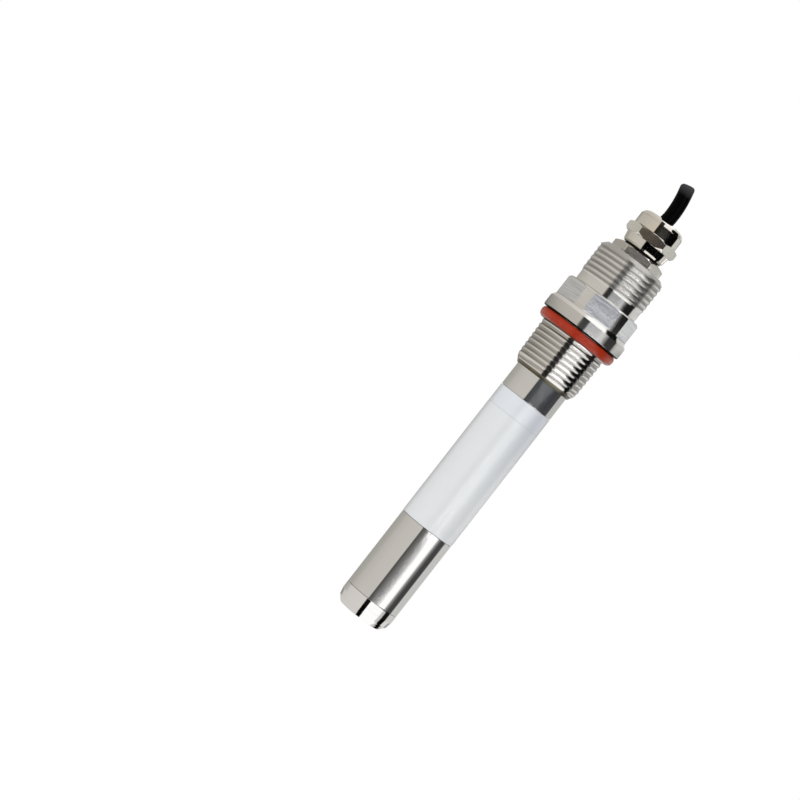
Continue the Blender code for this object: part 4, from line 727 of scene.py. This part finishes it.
# The flange with its sloping top, and the corner in which the gasket sits.
flange = open_eased(
    [
        (HEX_RADIUS, FLAT_FOOT - 0.12),
        (HEX_RADIUS, 132.5),
        (15.95, 131.37),
        (16.25, 131.0),
        (16.25, 127.1),
        (16.0, FLANGE_FOOT),
        (NECK_RADIUS, FLANGE_FOOT),
        (NECK_RADIUS, LOWER_THREAD_TOP + 0.1),
    ],
    [0.02, 0.03, 0.05, 0.05, 0.05, 0.2, 0.15, 0.1],
)
blocks.append(rows_of(flange, angle))

# The lower thread, whose crest is a little narrower towards its foot, and then the bore.
lower_rows = np.arange(LOWER_THREAD_TOP, COLLAR_TOP - 0.01, -row_step)[:, None]
lower_envelope = np.interp(
    -lower_rows,
    [-LOWER_THREAD_TOP, -123.0, -108.4, -107.0, -COLLAR_TOP],
    [NECK_RADIUS, LOWER_CREST_TOP, LOWER_CREST_FOOT, 12.4, 12.15],
)
lower_share = (lower_rows - COLLAR_TOP) / (LOWER_THREAD_TOP - COLLAR_TOP)
lower_crest = LOWER_CREST_FOOT + (LOWER_CREST_TOP - LOWER_CREST_FOOT) * lower_share
lower_thread = thread_radius(angle, lower_rows, lower_crest - THREAD_DEPTH, lower_crest)
lower_block = len(blocks)
blocks.append((np.minimum(lower_thread, lower_envelope), lower_rows + 0 * angle))
SOCKET_RADIUS = 10.95
BORE_OUTLINE = [(12.1, 106.4), (11.95, 106.2), (11.93, 106.17), (11.55, 105.6), (11.25, 105.1)]
BORE_OUTLINE += [(11.05, FITTING_FOOT), (SOCKET_RADIUS, FITTING_FOOT), (SOCKET_RADIUS, 119.9)]
BORE_OUTLINE += [(8.2, 119.9), (8.2, 148.0), (8.0, 148.0), (8.0, 155.9), (9.6, 155.9), (9.6, 157.2)]
BORE_OUTLINE += [(10.6, 157.2)]
blocks.append(rows_of(BORE_OUTLINE, angle))
fitting = from_blocks("process_fitting_skin", blocks, angle, 32.0)


def soften_threads(mesh, spans):
    """Clear the sharp mark of each edge outside the bore and inside a threaded span of height, and set it
    on each upright edge where a flat meets the round."""
    marks = np.zeros(len(mesh.edges), bool)
    mesh.attributes["sharp_edge"].data.foreach_get("value", marks)
    ends = np.zeros(len(mesh.edges) * 2, np.int32)
    mesh.edges.foreach_get("vertices", ends)
    places = np.zeros(len(mesh.vertices) * 3)
    mesh.vertices.foreach_get("co", places)
    places = places.reshape(-1, 3)
    height = places[ends.reshape(-1, 2), 2].mean(axis=1)
    radius = np.linalg.norm(places[ends.reshape(-1, 2), :2], axis=2).mean(axis=1)
    for low, high in spans:
        marks &= ~((height > low * MM) & (height < high * MM) & (radius > 11.5 * MM))
    first, second = places[ends.reshape(-1, 2)[:, 0]], places[ends.reshape(-1, 2)[:, 1]]
    upright = np.linalg.norm(first[:, :2] - second[:, :2], axis=1) < 1e-5
    bearing = np.arctan2(first[:, 1], first[:, 0]) + np.pi / 2 - HEX_TURN
    off = np.abs((bearing + np.pi / 6) % (np.pi / 3) - np.pi / 6)
    flat_end = np.abs(off - math.acos(FLAT_DISTANCE / HEX_RADIUS)) < 2e-4
    on_hexagon = (height > FLAT_FOOT * MM) & (height < HEX_TOP * MM) & (radius > (FLAT_DISTANCE - 0.1) * MM)
    marks |= upright & flat_end & on_hexagon
    mesh.attributes["sharp_edge"].data.foreach_set("value", marks)


LOWER_SPAN = (COLLAR_TOP + 0.3, LOWER_THREAD_TOP - 0.2)
UPPER_SPAN = (NECK_TOP + 0.3, FITTING_TOP - 0.2)
soften_threads(fitting.data, [LOWER_SPAN, UPPER_SPAN])
turned_fitting = turned_steel("turned_stainless_fitting", "#D4D2CF", 0.08, 0.06)

# The bottom of the thread's groove is painted darker than its crest, painted shade in the groove, and so
# are the rows next to the gland, painted shadow under it. The attribute holds how near a point is to the
# crest.
depth_share = np.ones((sum(len(rows) for rows, _ in blocks), angle.size))
for block, wave, crest_radius in (
    (upper_block, upper_thread, UPPER_CREST),
    (lower_block, lower_thread, lower_crest),
):
    start = sum(len(rows) for rows, _ in blocks[:block])
    root_radius = crest_radius - THREAD_DEPTH
    share = (wave - root_radius) / (crest_radius - root_radius)
    depth_share[start : start + len(wave)] = np.clip(share, 0.0, 1.0)
start = len(blocks[0][0])
depth_share[start : start + GLAND_SHADOW_ROWS] = GLAND_SHADOW_SHARE
groove = fitting.data.attributes.new("crest", "FLOAT", "POINT")
groove.data.foreach_set("value", depth_share.ravel().astype(np.float32))
shader = turned_fitting.node_tree.nodes["Principled BSDF"]
crest = add(turned_fitting, "Attribute", {"attribute_name": "crest"})
# Painted shade: the base colour goes from the darker tone in the thread's root to the paler one on its
# crest.
grained(turned_fitting, shader, crest.outputs["Fac"], ("#A8A5A0", "#D8D6D3"))
fitting.data.materials.append(turned_fitting)
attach(fitting, "sensor")
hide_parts("process_fitting")

# Milled flats: the cutter leaves fine lines along the flat, so the flats are duller and cooler than the
# turned faces next to them. The lines are too fine to show and are drawn half a millimetre apart.
milled_flat, shader = new_material("milled_stainless_flat", Metallic=1.0)
place = add(milled_flat, "TexCoord")
along_flat = {"1": (0.37, 0.41, 0.0), "3": (90.0, 90.0, 1800.0)}
stretch = add(milled_flat, "Mapping", along_flat, Vector=place.outputs["Object"])
lines = add(milled_flat, "TexNoise", {"Scale": 1.0, "Detail": 3.0}, Vector=stretch.outputs[0])
grained(milled_flat, shader, lines.outputs["Fac"], ("#AEB0B4", "#FAFAFC"), (0.1, 0.18), (0.12, 0.00003))
fitting.data.materials.append(milled_flat)


def face_table(mesh):
    """Centre and normal of every face, and a material number for each, 0 at first."""
    centres = np.zeros(len(mesh.polygons) * 3)
    mesh.polygons.foreach_get("center", centres)
    normals = np.zeros(len(mesh.polygons) * 3)
    mesh.polygons.foreach_get("normal", normals)
    return centres.reshape(-1, 3), normals.reshape(-1, 3), np.zeros(len(mesh.polygons), np.int32)


def on_flats(centres, normals, distance, low, high):
    """Upright faces between two heights whose plane lies the flats' distance from the axis."""
    reach = (centres[:, :2] * normals[:, :2]).sum(axis=1)
    upright = (np.abs(normals[:, 2]) < 0.05) & (np.abs(reach - distance * MM) < 3e-5)
    return upright & (centres[:, 2] > low * MM) & (centres[:, 2] < high * MM)


# Weld: the tube is welded into the fitting's foot. The heat has left the narrow foot a dull olive brown,
# a little rough, that fades out towards the thread.
weld, shader = new_material("heat_tinted_weld", Metallic=0.9, Roughness=0.3)
place = add(weld, "TexCoord")
axes = add(weld, "SeparateXYZ", Vector=place.outputs["Object"])
fade_out = {"1": (FITTING_FOOT + 0.4) * MM, "2": (COLLAR_TOP - 0.1) * MM}
fade = add(weld, "MapRange", fade_out, Value=axes.outputs["Z"])
ripple = add(weld, "TexNoise", {"Scale": 900.0, "Detail": 3.0}, Vector=place.outputs["Object"])
grained(weld, shader, fade.outputs[0], tones=("#565244", "#8A8676"))
grained(weld, shader, ripple.outputs["Fac"], relief=(0.4, 0.00006))
fitting.data.materials.append(weld)
centres, normals, slots = face_table(fitting.data)
slots[on_flats(centres, normals, FLAT_DISTANCE, FLAT_FOOT, FLAT_TOP)] = 1
outer = np.linalg.norm(centres[:, :2], axis=1) > 1.001 * SOCKET_RADIUS * MM
slots[outer & (centres[:, 2] < WELD_TOP * MM)] = 2

# The corner above the gasket is painted nearly black: painted shadow in the gap between the flange and the
# seal.
# The groove between the gland's body and its nut has the same material, painted shadow too.
painted_shadow_steel, shader = new_material("painted_shadow_stainless_corner", Metallic=0.4, Roughness=0.6)
place = add(painted_shadow_steel, "TexCoord")
shadow_mottle = add(painted_shadow_steel, "TexNoise", {"Scale": 700.0, "Detail": 3.0}, Vector=place.outputs["Object"])
grained(painted_shadow_steel, shader, shadow_mottle.outputs["Fac"], ("#050303", "#1E1512"))
fitting.data.materials.append(painted_shadow_steel)
# Painted shadow: the faces round the flange's foot, just above the gasket, take the nearly black material.
seat = (centres[:, 2] > (FLANGE_FOOT - 0.5) * MM) & (centres[:, 2] < (FLANGE_FOOT + 0.35) * MM)
slots[outer & seat] = 3

# The upper thread is rolled and left as it is, so it is duller than the turned faces: its mirror image is
# blurred and a good part of the light is scattered.
rolled_thread = turned_steel("rolled_stainless_thread", "#C9C7C3", 0.17, 0.1)
shader = rolled_thread.node_tree.nodes["Principled BSDF"]
shader.inputs["Metallic"].default_value = 0.8
crest = add(rolled_thread, "Attribute", {"attribute_name": "crest"})
# Painted shade: the same attribute paints the thread's roots darker than its crests.
grained(rolled_thread, shader, crest.outputs["Fac"], ("#96938E", "#D2D0CD"))
fitting.data.materials.append(rolled_thread)
on_thread = (centres[:, 2] > (NECK_TOP + 0.35) * MM) & (centres[:, 2] < FITTING_TOP * MM)
slots[outer & on_thread] = 4
fitting.data.polygons.foreach_set("material_index", slots)

# Seal ring: moulded red silicone that sits round the thread's runout and is squeezed a little under the
# flange, so its outer edge bulges. Its top and its underside are painted nearly black: painted shade.
SEAL_OUTLINE = [(13.425, 126.4), (15.25, 126.4), (15.78, 125.2)]
SEAL_OUTLINE += [(15.5, 123.5), (14.4, 122.7), (13.425, 122.7)]
seal_profile = eased(SEAL_OUTLINE, [0.2, 0.4, 0.9, 0.9, 0.4, 0.2], 8) * MM
seal = turned("seal_ring_skin", seal_profile, 144, sharp=60.0)
silicone, shader = new_material("moulded_red_silicone", Roughness=0.28, IOR=1.45)
shader.inputs["Specular IOR Level"].default_value = 0.35
shader.inputs["Coat Weight"].default_value = 0.2
shader.inputs["Coat Roughness"].default_value = 0.25
place = add(silicone, "TexCoord")
cloud = add(silicone, "TexNoise", {"Scale": 300.0, "Detail": 3.0}, Vector=place.outputs["Object"])
tone = add(silicone, "MixRGB", {"1": linear("#B43004"), "2": linear("#8A1C00")}, _0=cloud.outputs["Fac"])
spot = add(silicone, "NewGeometry")
spot_axes = add(silicone, "SeparateXYZ", Vector=spot.outputs["Normal"])
# Painted shade: faces turned steeply down or steeply up are painted nearly black.
below = add(silicone, "MapRange", {"1": -0.75, "2": -0.97}, Value=spot_axes.outputs["Z"])
above = add(silicone, "MapRange", {"1": 0.5, "2": 0.95}, Value=spot_axes.outputs["Z"])
shaded_faces = add(silicone, "Math", {"operation": "MAXIMUM"}, _0=below.outputs[0], _1=above.outputs[0])
painted_shade_tone = add(silicone, "MixRGB", {"2": linear("#2A0602")}, _0=shaded_faces.outputs[0], _1=tone.outputs[0])
link(silicone, painted_shade_tone.outputs[0], shader, "Base Color")
grained(silicone, shader, cloud.outputs["Fac"], relief=(0.2, 0.0001))
shader.inputs["Subsurface Weight"].default_value = 0.1
shader.inputs["Subsurface Radius"].default_value = (0.002, 0.0006, 0.0004)
seal.data.materials.append(silicone)
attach(seal, "sensor")
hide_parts("seal_ring")

# Gland body: nickel-plated brass, turned and hexagonal 18 mm across flats, screwed down on an O-ring. Its
# upper spigot carries the thread for the nut.
GLAND_FLAT = 9.0
GLAND_CORNER = 10.32
GLAND_TURN = math.radians(-1.8)
NUT_RADIUS = 8.8
BODY_FOOT = 157.5
BODY_CONE_TOP = 161.2
BODY_CONE_RADIUS = 8.2
SPIGOT_TOP, SPIGOT_FOOT = 169.3, 161.6
SPIGOT_PITCH = 1.5
SPIGOT_ROWS_PER_PITCH = 20
SPIGOT_ROOT, SPIGOT_DEPTH = 6.95, 0.5
SPIGOT_START = 161.0
gland_angle = hex_columns(180, GLAND_FLAT, GLAND_CORNER, GLAND_TURN)
gland_reach = hex_distance(gland_angle, GLAND_FLAT, GLAND_CORNER, GLAND_TURN)
body_cone = BODY_CONE_TOP - (gland_reach - BODY_CONE_RADIUS) * 0.5

# The spigot's thread is a right-hand one: a cosine over the turns, its crests and roots cut flat, that
# runs out under an envelope at its ends.
spigot_rows = np.arange(SPIGOT_TOP, SPIGOT_FOOT, -SPIGOT_PITCH / SPIGOT_ROWS_PER_PITCH)[:, None]
spigot_turns = (spigot_rows - SPIGOT_START) / SPIGOT_PITCH - gland_angle / (2 * np.pi)
spigot_wave = 0.5 + 0.5 * np.cos(2 * np.pi * spigot_turns)
spigot_radius = SPIGOT_ROOT + SPIGOT_DEPTH * np.clip(1.6 * spigot_wave - 0.3, 0.0, 1.0)
spigot_limit = np.interp(
    -spigot_rows,
    [-SPIGOT_TOP, -168.7, -162.4, -161.8],
    [6.9, SPIGOT_ROOT + SPIGOT_DEPTH, SPIGOT_ROOT + SPIGOT_DEPTH, 6.9],
)
spigot_foot = [(6.9, 161.5), (6.9, 161.25), (7.0, BODY_CONE_TOP), (BODY_CONE_RADIUS, BODY_CONE_TOP)]
at_foot = BODY_FOOT + 0 * gland_reach
body_bore = [(7.7, BODY_FOOT), (7.7, 149.4), (7.4, 149.1), (3.3, 149.1), (3.3, 162.5), (4.5, 162.5)]
body_bore += [(4.5, 165.68), (6.0, 165.68)]
body_blocks = [
    rows_of([(6.0, 169.5), (6.6, 169.6)], gland_angle),
    (np.minimum(spigot_radius, spigot_limit), spigot_rows + 0 * gland_angle),
    rows_of(spigot_foot, gland_angle),
    (
        np.vstack([gland_reach - 0.08, gland_reach, gland_reach, gland_reach, gland_reach - 0.1]),
        np.vstack([body_cone + 0.08, body_cone - 0.06, body_cone - 0.6, at_foot + 0.2, at_foot]),
    ),
    rows_of(body_bore, gland_angle),
]
gland_body = from_blocks("gland_body_skin", body_blocks, gland_angle, 25.0)
nickel = turned_steel("nickel_plated_brass", "#D6D2CB", 0.045, 0.02)
gland_body.data.materials.append(nickel)

# Flats of the gland: milled before plating, so their fine cutter lines blur the mirror. The lines are a
# twentieth of a millimetre apart and drawn at a fifth. Each flat's tone is a painted reflection: the flat
# that faces the camera is toned apart from the others, painted near white on the body and painted darker
# towards its right on the nut, and the nut's other flats are painted lighter towards the left.
nickel_flat, shader = new_material("milled_nickel_plated_flat", Metallic=1.0)
place = add(nickel_flat, "TexCoord")
stretch = add(nickel_flat, "Mapping", {"3": (150.0, 150.0, 5000.0)}, Vector=place.outputs["Object"])
lines = add(nickel_flat, "TexNoise", {"Scale": 1.0, "Detail": 2.0}, Vector=stretch.outputs[0])
axes = add(nickel_flat, "SeparateXYZ", Vector=place.outputs["Object"])
# Painted reflection: the body's front flat is painted near white, the nut's front flat darker towards its
# right.
front_body_highlight = {"1": linear("#EAE2DA"), "2": linear("#FFFAF4")}
bright = add(nickel_flat, "MixRGB", front_body_highlight, _0=lines.outputs["Fac"])
across = add(nickel_flat, "MapRange", {"1": -0.005, "2": 0.004}, Value=axes.outputs["X"])
dull = add(nickel_flat, "MixRGB", {"1": linear("#CFC3AC"), "2": linear("#A2958E")}, _0=across.outputs[0])
on_nut = add(nickel_flat, "MapRange", {"1": 0.1625, "2": 0.1635}, Value=axes.outputs["Z"])
front_flat_reflection = add(nickel_flat, "MixRGB", _0=on_nut.outputs[0], _1=bright.outputs[0], _2=dull.outputs[0])
# Painted reflection: the nut's side flats are painted lighter to the left, the body's side flats one grey.
round_it = add(nickel_flat, "MapRange", {"1": -0.009, "2": 0.009}, Value=axes.outputs["X"])
nut_side_reflection = add(nickel_flat, "MixRGB", {"1": linear("#E8E6E0"), "2": linear("#D2D0C8")}, _0=round_it.outputs[0])
all_sides = add(nickel_flat, "MixRGB", {"1": linear("#C8C4BE")}, _0=on_nut.outputs[0], _2=nut_side_reflection.outputs[0])
at_front = add(nickel_flat, "MapRange", {"1": -0.0086, "2": -0.0088}, Value=axes.outputs["Y"])
tone = add(nickel_flat, "MixRGB", _0=at_front.outputs[0], _1=all_sides.outputs[0], _2=front_flat_reflection.outputs[0])
link(nickel_flat, tone.outputs[0], shader, "Base Color")
grained(nickel_flat, shader, lines.outputs["Fac"], roughness=(0.19, 0.27))
gland_body.data.materials.append(nickel_flat)
centres, normals, slots = face_table(gland_body.data)
slots[on_flats(centres, normals, GLAND_FLAT, BODY_FOOT + 0.1, BODY_CONE_TOP)] = 1
gland_body.data.materials.append(painted_shadow_steel)
# Painted shadow: the spigot's foot between the gland's body and its nut takes the same nearly black
# material.
in_groove = np.linalg.norm(centres[:, :2], axis=1) < 7.6 * MM
in_groove &= (centres[:, 2] > (BODY_CONE_TOP - 0.1) * MM) & (centres[:, 2] < 163.5 * MM)
slots[in_groove] = 2
gland_body.data.polygons.foreach_set("material_index", slots)
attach(gland_body, "sensor")
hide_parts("gland_body")

# Dome nut: nickel-plated brass, turned with a rounded crown, its hexagon's corners cut back by cones. It
# screws down on the spigot and squeezes the claw on the cable.
COLLAR_LOW, COLLAR_HIGH = 165.35, 169.15
NUT_CONE_RADIUS = 9.45
NUT_BORE = 7.72
crown_corners = [(4.4, 175.25), (6.3, 175.3), (7.95, 174.6), (NUT_RADIUS, 173.2)]
crown_corners += [(NUT_RADIUS, 169.4), (NUT_RADIUS, COLLAR_HIGH)]
crown = open_eased(crown_corners, [0.1, 0.7, 0.5, 0.1, 0.05, 0.05], 6)
skirt_corners = [(NUT_CONE_RADIUS, COLLAR_LOW), (NUT_RADIUS, COLLAR_LOW), (8.33, 162.55)]
skirt_corners += [(8.0, 161.85), (NUT_BORE, 161.8), (NUT_BORE, 163.4)]
nut_inside = [(NUT_BORE, 170.3), (6.9, 170.3), (4.4, 173.9)]
skirt = np.vstack([open_eased(skirt_corners, 0.03), nut_inside])
skirt_radius, skirt_height = rows_of(skirt, gland_angle)
upper_cone = COLLAR_HIGH - (gland_reach - NUT_RADIUS) * 0.5
lower_cone = COLLAR_LOW + 0.1 + np.maximum(gland_reach - NUT_CONE_RADIUS, 0.0)
middle = (upper_cone + lower_cone) / 2

# The skirt's first ring is wider than the flats are apart, so it is kept just inside them.
nut_blocks = [
    rows_of(crown, gland_angle),
    (
        np.vstack([gland_reach - 0.05, gland_reach, gland_reach, gland_reach, gland_reach - 0.05]),
        np.vstack([upper_cone + 0.05, upper_cone - 0.04, middle, lower_cone + 0.04, lower_cone - 0.05]),
    ),
    (np.minimum(skirt_radius, gland_reach - 0.08), skirt_height),
]
gland_nut = from_blocks("gland_nut_skin", nut_blocks, gland_angle, 25.0)
gland_nut.data.materials.append(nickel)
gland_nut.data.materials.append(nickel_flat)
centres, normals, slots = face_table(gland_nut.data)
slots[on_flats(centres, normals, GLAND_FLAT, COLLAR_LOW, COLLAR_HIGH)] = 1
gland_nut.data.polygons.foreach_set("material_index", slots)
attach(gland_nut, "clamp_nut")
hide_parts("gland_nut")

# Sealing rings and the cable seal: moulded black nitrile rubber, matt and a little dusty. They lie in the
# tip, under the window, under the gland body and round the cable, and keep the shapes of the solids.


def dress(material, *nodes):
    """Give CAD nodes that stay as they are a material in place of their plain one."""
    for node in nodes:
        mesh = bpy.data.objects[node].data
        mesh.materials.clear()
        mesh.materials.append(material)


def patterned(name, noise, tones, roughness=None, relief=None, stretch=None, **sockets):
    """A material that one noise pattern tints, dulls and raises. The noise is read at the object's own
    coordinates, each axis times its stretch where the making has a direction."""
    made, shader = new_material(name, **sockets)
    place = add(made, "TexCoord").outputs["Object"]
    if stretch:
        place = add(made, "Mapping", {"3": stretch}, Vector=place).outputs[0]
    pattern = add(made, "TexNoise", noise, Vector=place)
    grained(made, shader, pattern.outputs["Fac"], tones, roughness, relief)
    return made


nitrile = patterned(
    "moulded_black_nitrile_rubber",
    {"Scale": 700.0, "Detail": 4.0},
    tones=("#0E0E0F", "#2B2B2C"),
    roughness=(0.45, 0.75),
    relief=(0.3, 0.00003),
    IOR=1.45,
)
dress(nitrile, "tip_window_seal", "tip_oring", "gland_oring", "gland_seal")

# Optics block and carriers: machined from black acetal. The block stops stray light, so its matt black is
# broken only by fine turning lines. The lines are drawn at 0.3 mm, about four times too coarse.
black_acetal = patterned(
    "machined_black_acetal",
    {"Scale": 1.0, "Detail": 2.0},
    tones=("#0A0A0B", "#1D1D1F"),
    roughness=(0.35, 0.6),
    relief=(0.35, 0.00002),
    stretch=(200.0, 200.0, 3300.0),
    IOR=1.48,
)
dress(black_acetal, "optics_block", "lower_carrier", "upper_carrier")

# Emitter: an infrared diode in a lens of water-clear epoxy, cast round its leads and set at 45 degrees in
# the block. The lens has a faint blue cast and slow waves in its skin.
clear_epoxy = patterned(
    "cast_clear_epoxy",
    {"Scale": 500.0, "Detail": 1.0},
    tones=("#DDE6F2", "#F4F8FC"),
    relief=(0.1, 0.00005),
    Roughness=0.04,
    IOR=1.53,
    Transmission_Weight=0.85,
)
dress(clear_epoxy, "infrared_led")

# Detector: the same case, cast in dark epoxy that lets only infrared through and set across from the
# emitter. It is nearly black with a deep red tinge, and glossy.
filter_epoxy = patterned(
    "cast_filter_epoxy",
    {"Scale": 500.0, "Detail": 1.0},
    tones=("#12060A", "#220C10"),
    relief=(0.1, 0.00005),
    Roughness=0.08,
    IOR=1.53,
)
dress(filter_epoxy, "photodiode")

# Chips, regulator and inductor: transfer-moulded black epoxy with the fine sparkle of its glass filler. The
# grain is drawn at 0.15 mm, where the real one is a few hundredths.
chip_epoxy, shader = new_material("transfer_moulded_epoxy", IOR=1.5)
place = add(chip_epoxy, "TexCoord")
filler = add(chip_epoxy, "TexVoronoi", {"Scale": 6500.0}, Vector=place.outputs["Object"])
sparkle = filler.outputs["Distance"]
grained(chip_epoxy, shader, sparkle, tones=("#2A2A2C", "#121213"), relief=(0.2, 0.00002))
dull = add(chip_epoxy, "MapRange", {"2": 0.7, "3": 0.4, "4": 0.62}, Value=sparkle)
link(chip_epoxy, dull.outputs[0], shader, "Roughness")
dress(
    chip_epoxy,
    "microcontroller",
    "converter_chip",
    "amplifier_chip",
    "bus_chip",
    "regulator",
    "inductor",
    "preamplifier_chip",
)

# Circuit boards: glass epoxy laminate under glossy green solder resist. Copper tracks 0.2 mm wide show as
# paler lines, and the glass weave as a faint unevenness.


def solder_resist(name, turn):
    """Green resist: bricks 5 by 1.3 mm whose joints are the tracks, turned into the board's plane."""
    made, shader = new_material(name, Roughness=0.28, IOR=1.5)
    place = add(made, "TexCoord")
    plane = add(made, "Mapping", {"2": turn, "3": (200.0, 200.0, 200.0)}, Vector=place.outputs["Object"])
    tracks = add(
        made,
        "TexBrick",
        {
            "Color1": linear("#0B4A26"),
            "Color2": linear("#0E532B"),
            "Mortar": linear("#2A7F49"),
            "Scale": 1.0,
            "Mortar Size": 0.02,
            "Brick Width": 1.0,
            "Row Height": 0.26,
        },
        Vector=plane.outputs[0],
    )
    weave = add(made, "TexNoise", {"Scale": 1600.0, "Detail": 2.0}, Vector=place.outputs["Object"])
    shade = add(made, "MapRange", {"3": 0.75, "4": 1.1}, Value=weave.outputs["Fac"])
    multiply = {"blend_type": "MULTIPLY", "0": 1.0}
    woven = add(made, "MixRGB", multiply, _1=tracks.outputs[0], _2=shade.outputs[0])
    link(made, woven.outputs[0], shader, "Base Color")
    grained(made, shader, tracks.outputs["Fac"], relief=(0.3, 0.00004))
    return made


dress(solder_resist("green_resist_upright_board", (math.pi / 2, 0.0, 0.0)), "main_board")
dress(solder_resist("green_resist_round_board", (0.0, 0.0, 0.0)), "optics_board")

# Small metal parts: tinned wire and cases and zinc-plated screws, grey and cloudy where the coating has
# run, with handling marks.
tinned = patterned(
    "dipped_tinned_steel",
    {"Scale": 1100.0, "Detail": 4.0},
    tones=("#A6A8AA", "#D2D3D4"),
    roughness=(0.18, 0.42),
    relief=(0.25, 0.00003),
    Metallic=1.0,
)
dress(tinned, "thermistor", "board_screw_1", "board_screw_2", "crystal", "storage_capacitor")

# Headers: the boards' connectors, moulded in nylon round their pins and soldered on. They are creamy
# white and satin, with flow marks from the mould.
header_nylon = patterned(
    "moulded_cream_nylon",
    {"Scale": 450.0, "Detail": 3.0, "Distortion": 1.5},
    tones=("#D9D3C2", "#EBE6D8"),
    roughness=(0.38, 0.55),
    relief=(0.15, 0.00003),
    IOR=1.53,
)
dress(header_nylon, "optics_header", "cable_header", "head_header")

# Claw: moulded natural polyamide, slightly yellow and translucent. Its eight fingers are rubbed whiter
# where the nut's crown presses on them, near their tops.
polyamide, shader = new_material("moulded_natural_polyamide", IOR=1.53)
place = add(polyamide, "TexCoord")
axes = add(polyamide, "SeparateXYZ", Vector=place.outputs["Object"])
marbled = {"Scale": 380.0, "Detail": 3.0, "Distortion": 1.0}
flow = add(polyamide, "TexNoise", marbled, Vector=place.outputs["Object"])
body = add(polyamide, "MixRGB", {"1": linear("#CFC8B2"), "2": linear("#E0DAC8")}, _0=flow.outputs["Fac"])
rubbed = add(polyamide, "MapRange", {"1": 0.1705, "2": 0.1725, "4": 0.6}, Value=axes.outputs["Z"])
tone = add(polyamide, "MixRGB", {"2": linear("#F0EEE6")}, _0=rubbed.outputs[0], _1=body.outputs[0])
link(polyamide, tone.outputs[0], shader, "Base Color")
grained(polyamide, shader, flow.outputs["Fac"], roughness=(0.32, 0.5))
shader.inputs["Subsurface Weight"].default_value = 0.15
shader.inputs["Subsurface Radius"].default_value = (0.001, 0.0008, 0.0006)
dress(polyamide, "gland_claw")

# Cores and leads: stranded copper in extruded coloured insulation, satin, with faint streaks along the
# draw and the slight ribbing of the strands inside.


def insulation(name, deep, pale):
    """Extruded insulation: noise stretched eight times along the wire, which runs upright."""
    return patterned(
        name,
        {"Scale": 1.0, "Detail": 2.0},
        tones=(deep, pale),
        roughness=(0.35, 0.52),
        relief=(0.2, 0.00003),
        stretch=(2400.0, 2400.0, 300.0),
        IOR=1.5,
    )


dress(insulation("extruded_red_insulation", "#9C1410", "#C4261C"), "core_red", "head_lead_1")
dress(insulation("extruded_black_insulation", "#0D0D0E", "#222224"), "core_black", "head_lead_2")
dress(insulation("extruded_yellow_insulation", "#C79410", "#E8B82C"), "core_yellow", "head_lead_3")
dress(insulation("extruded_blue_insulation", "#123C8C", "#2458B4"), "core_blue", "head_lead_4")

bpy.context.scene.view_settings.view_transform = "Standard"
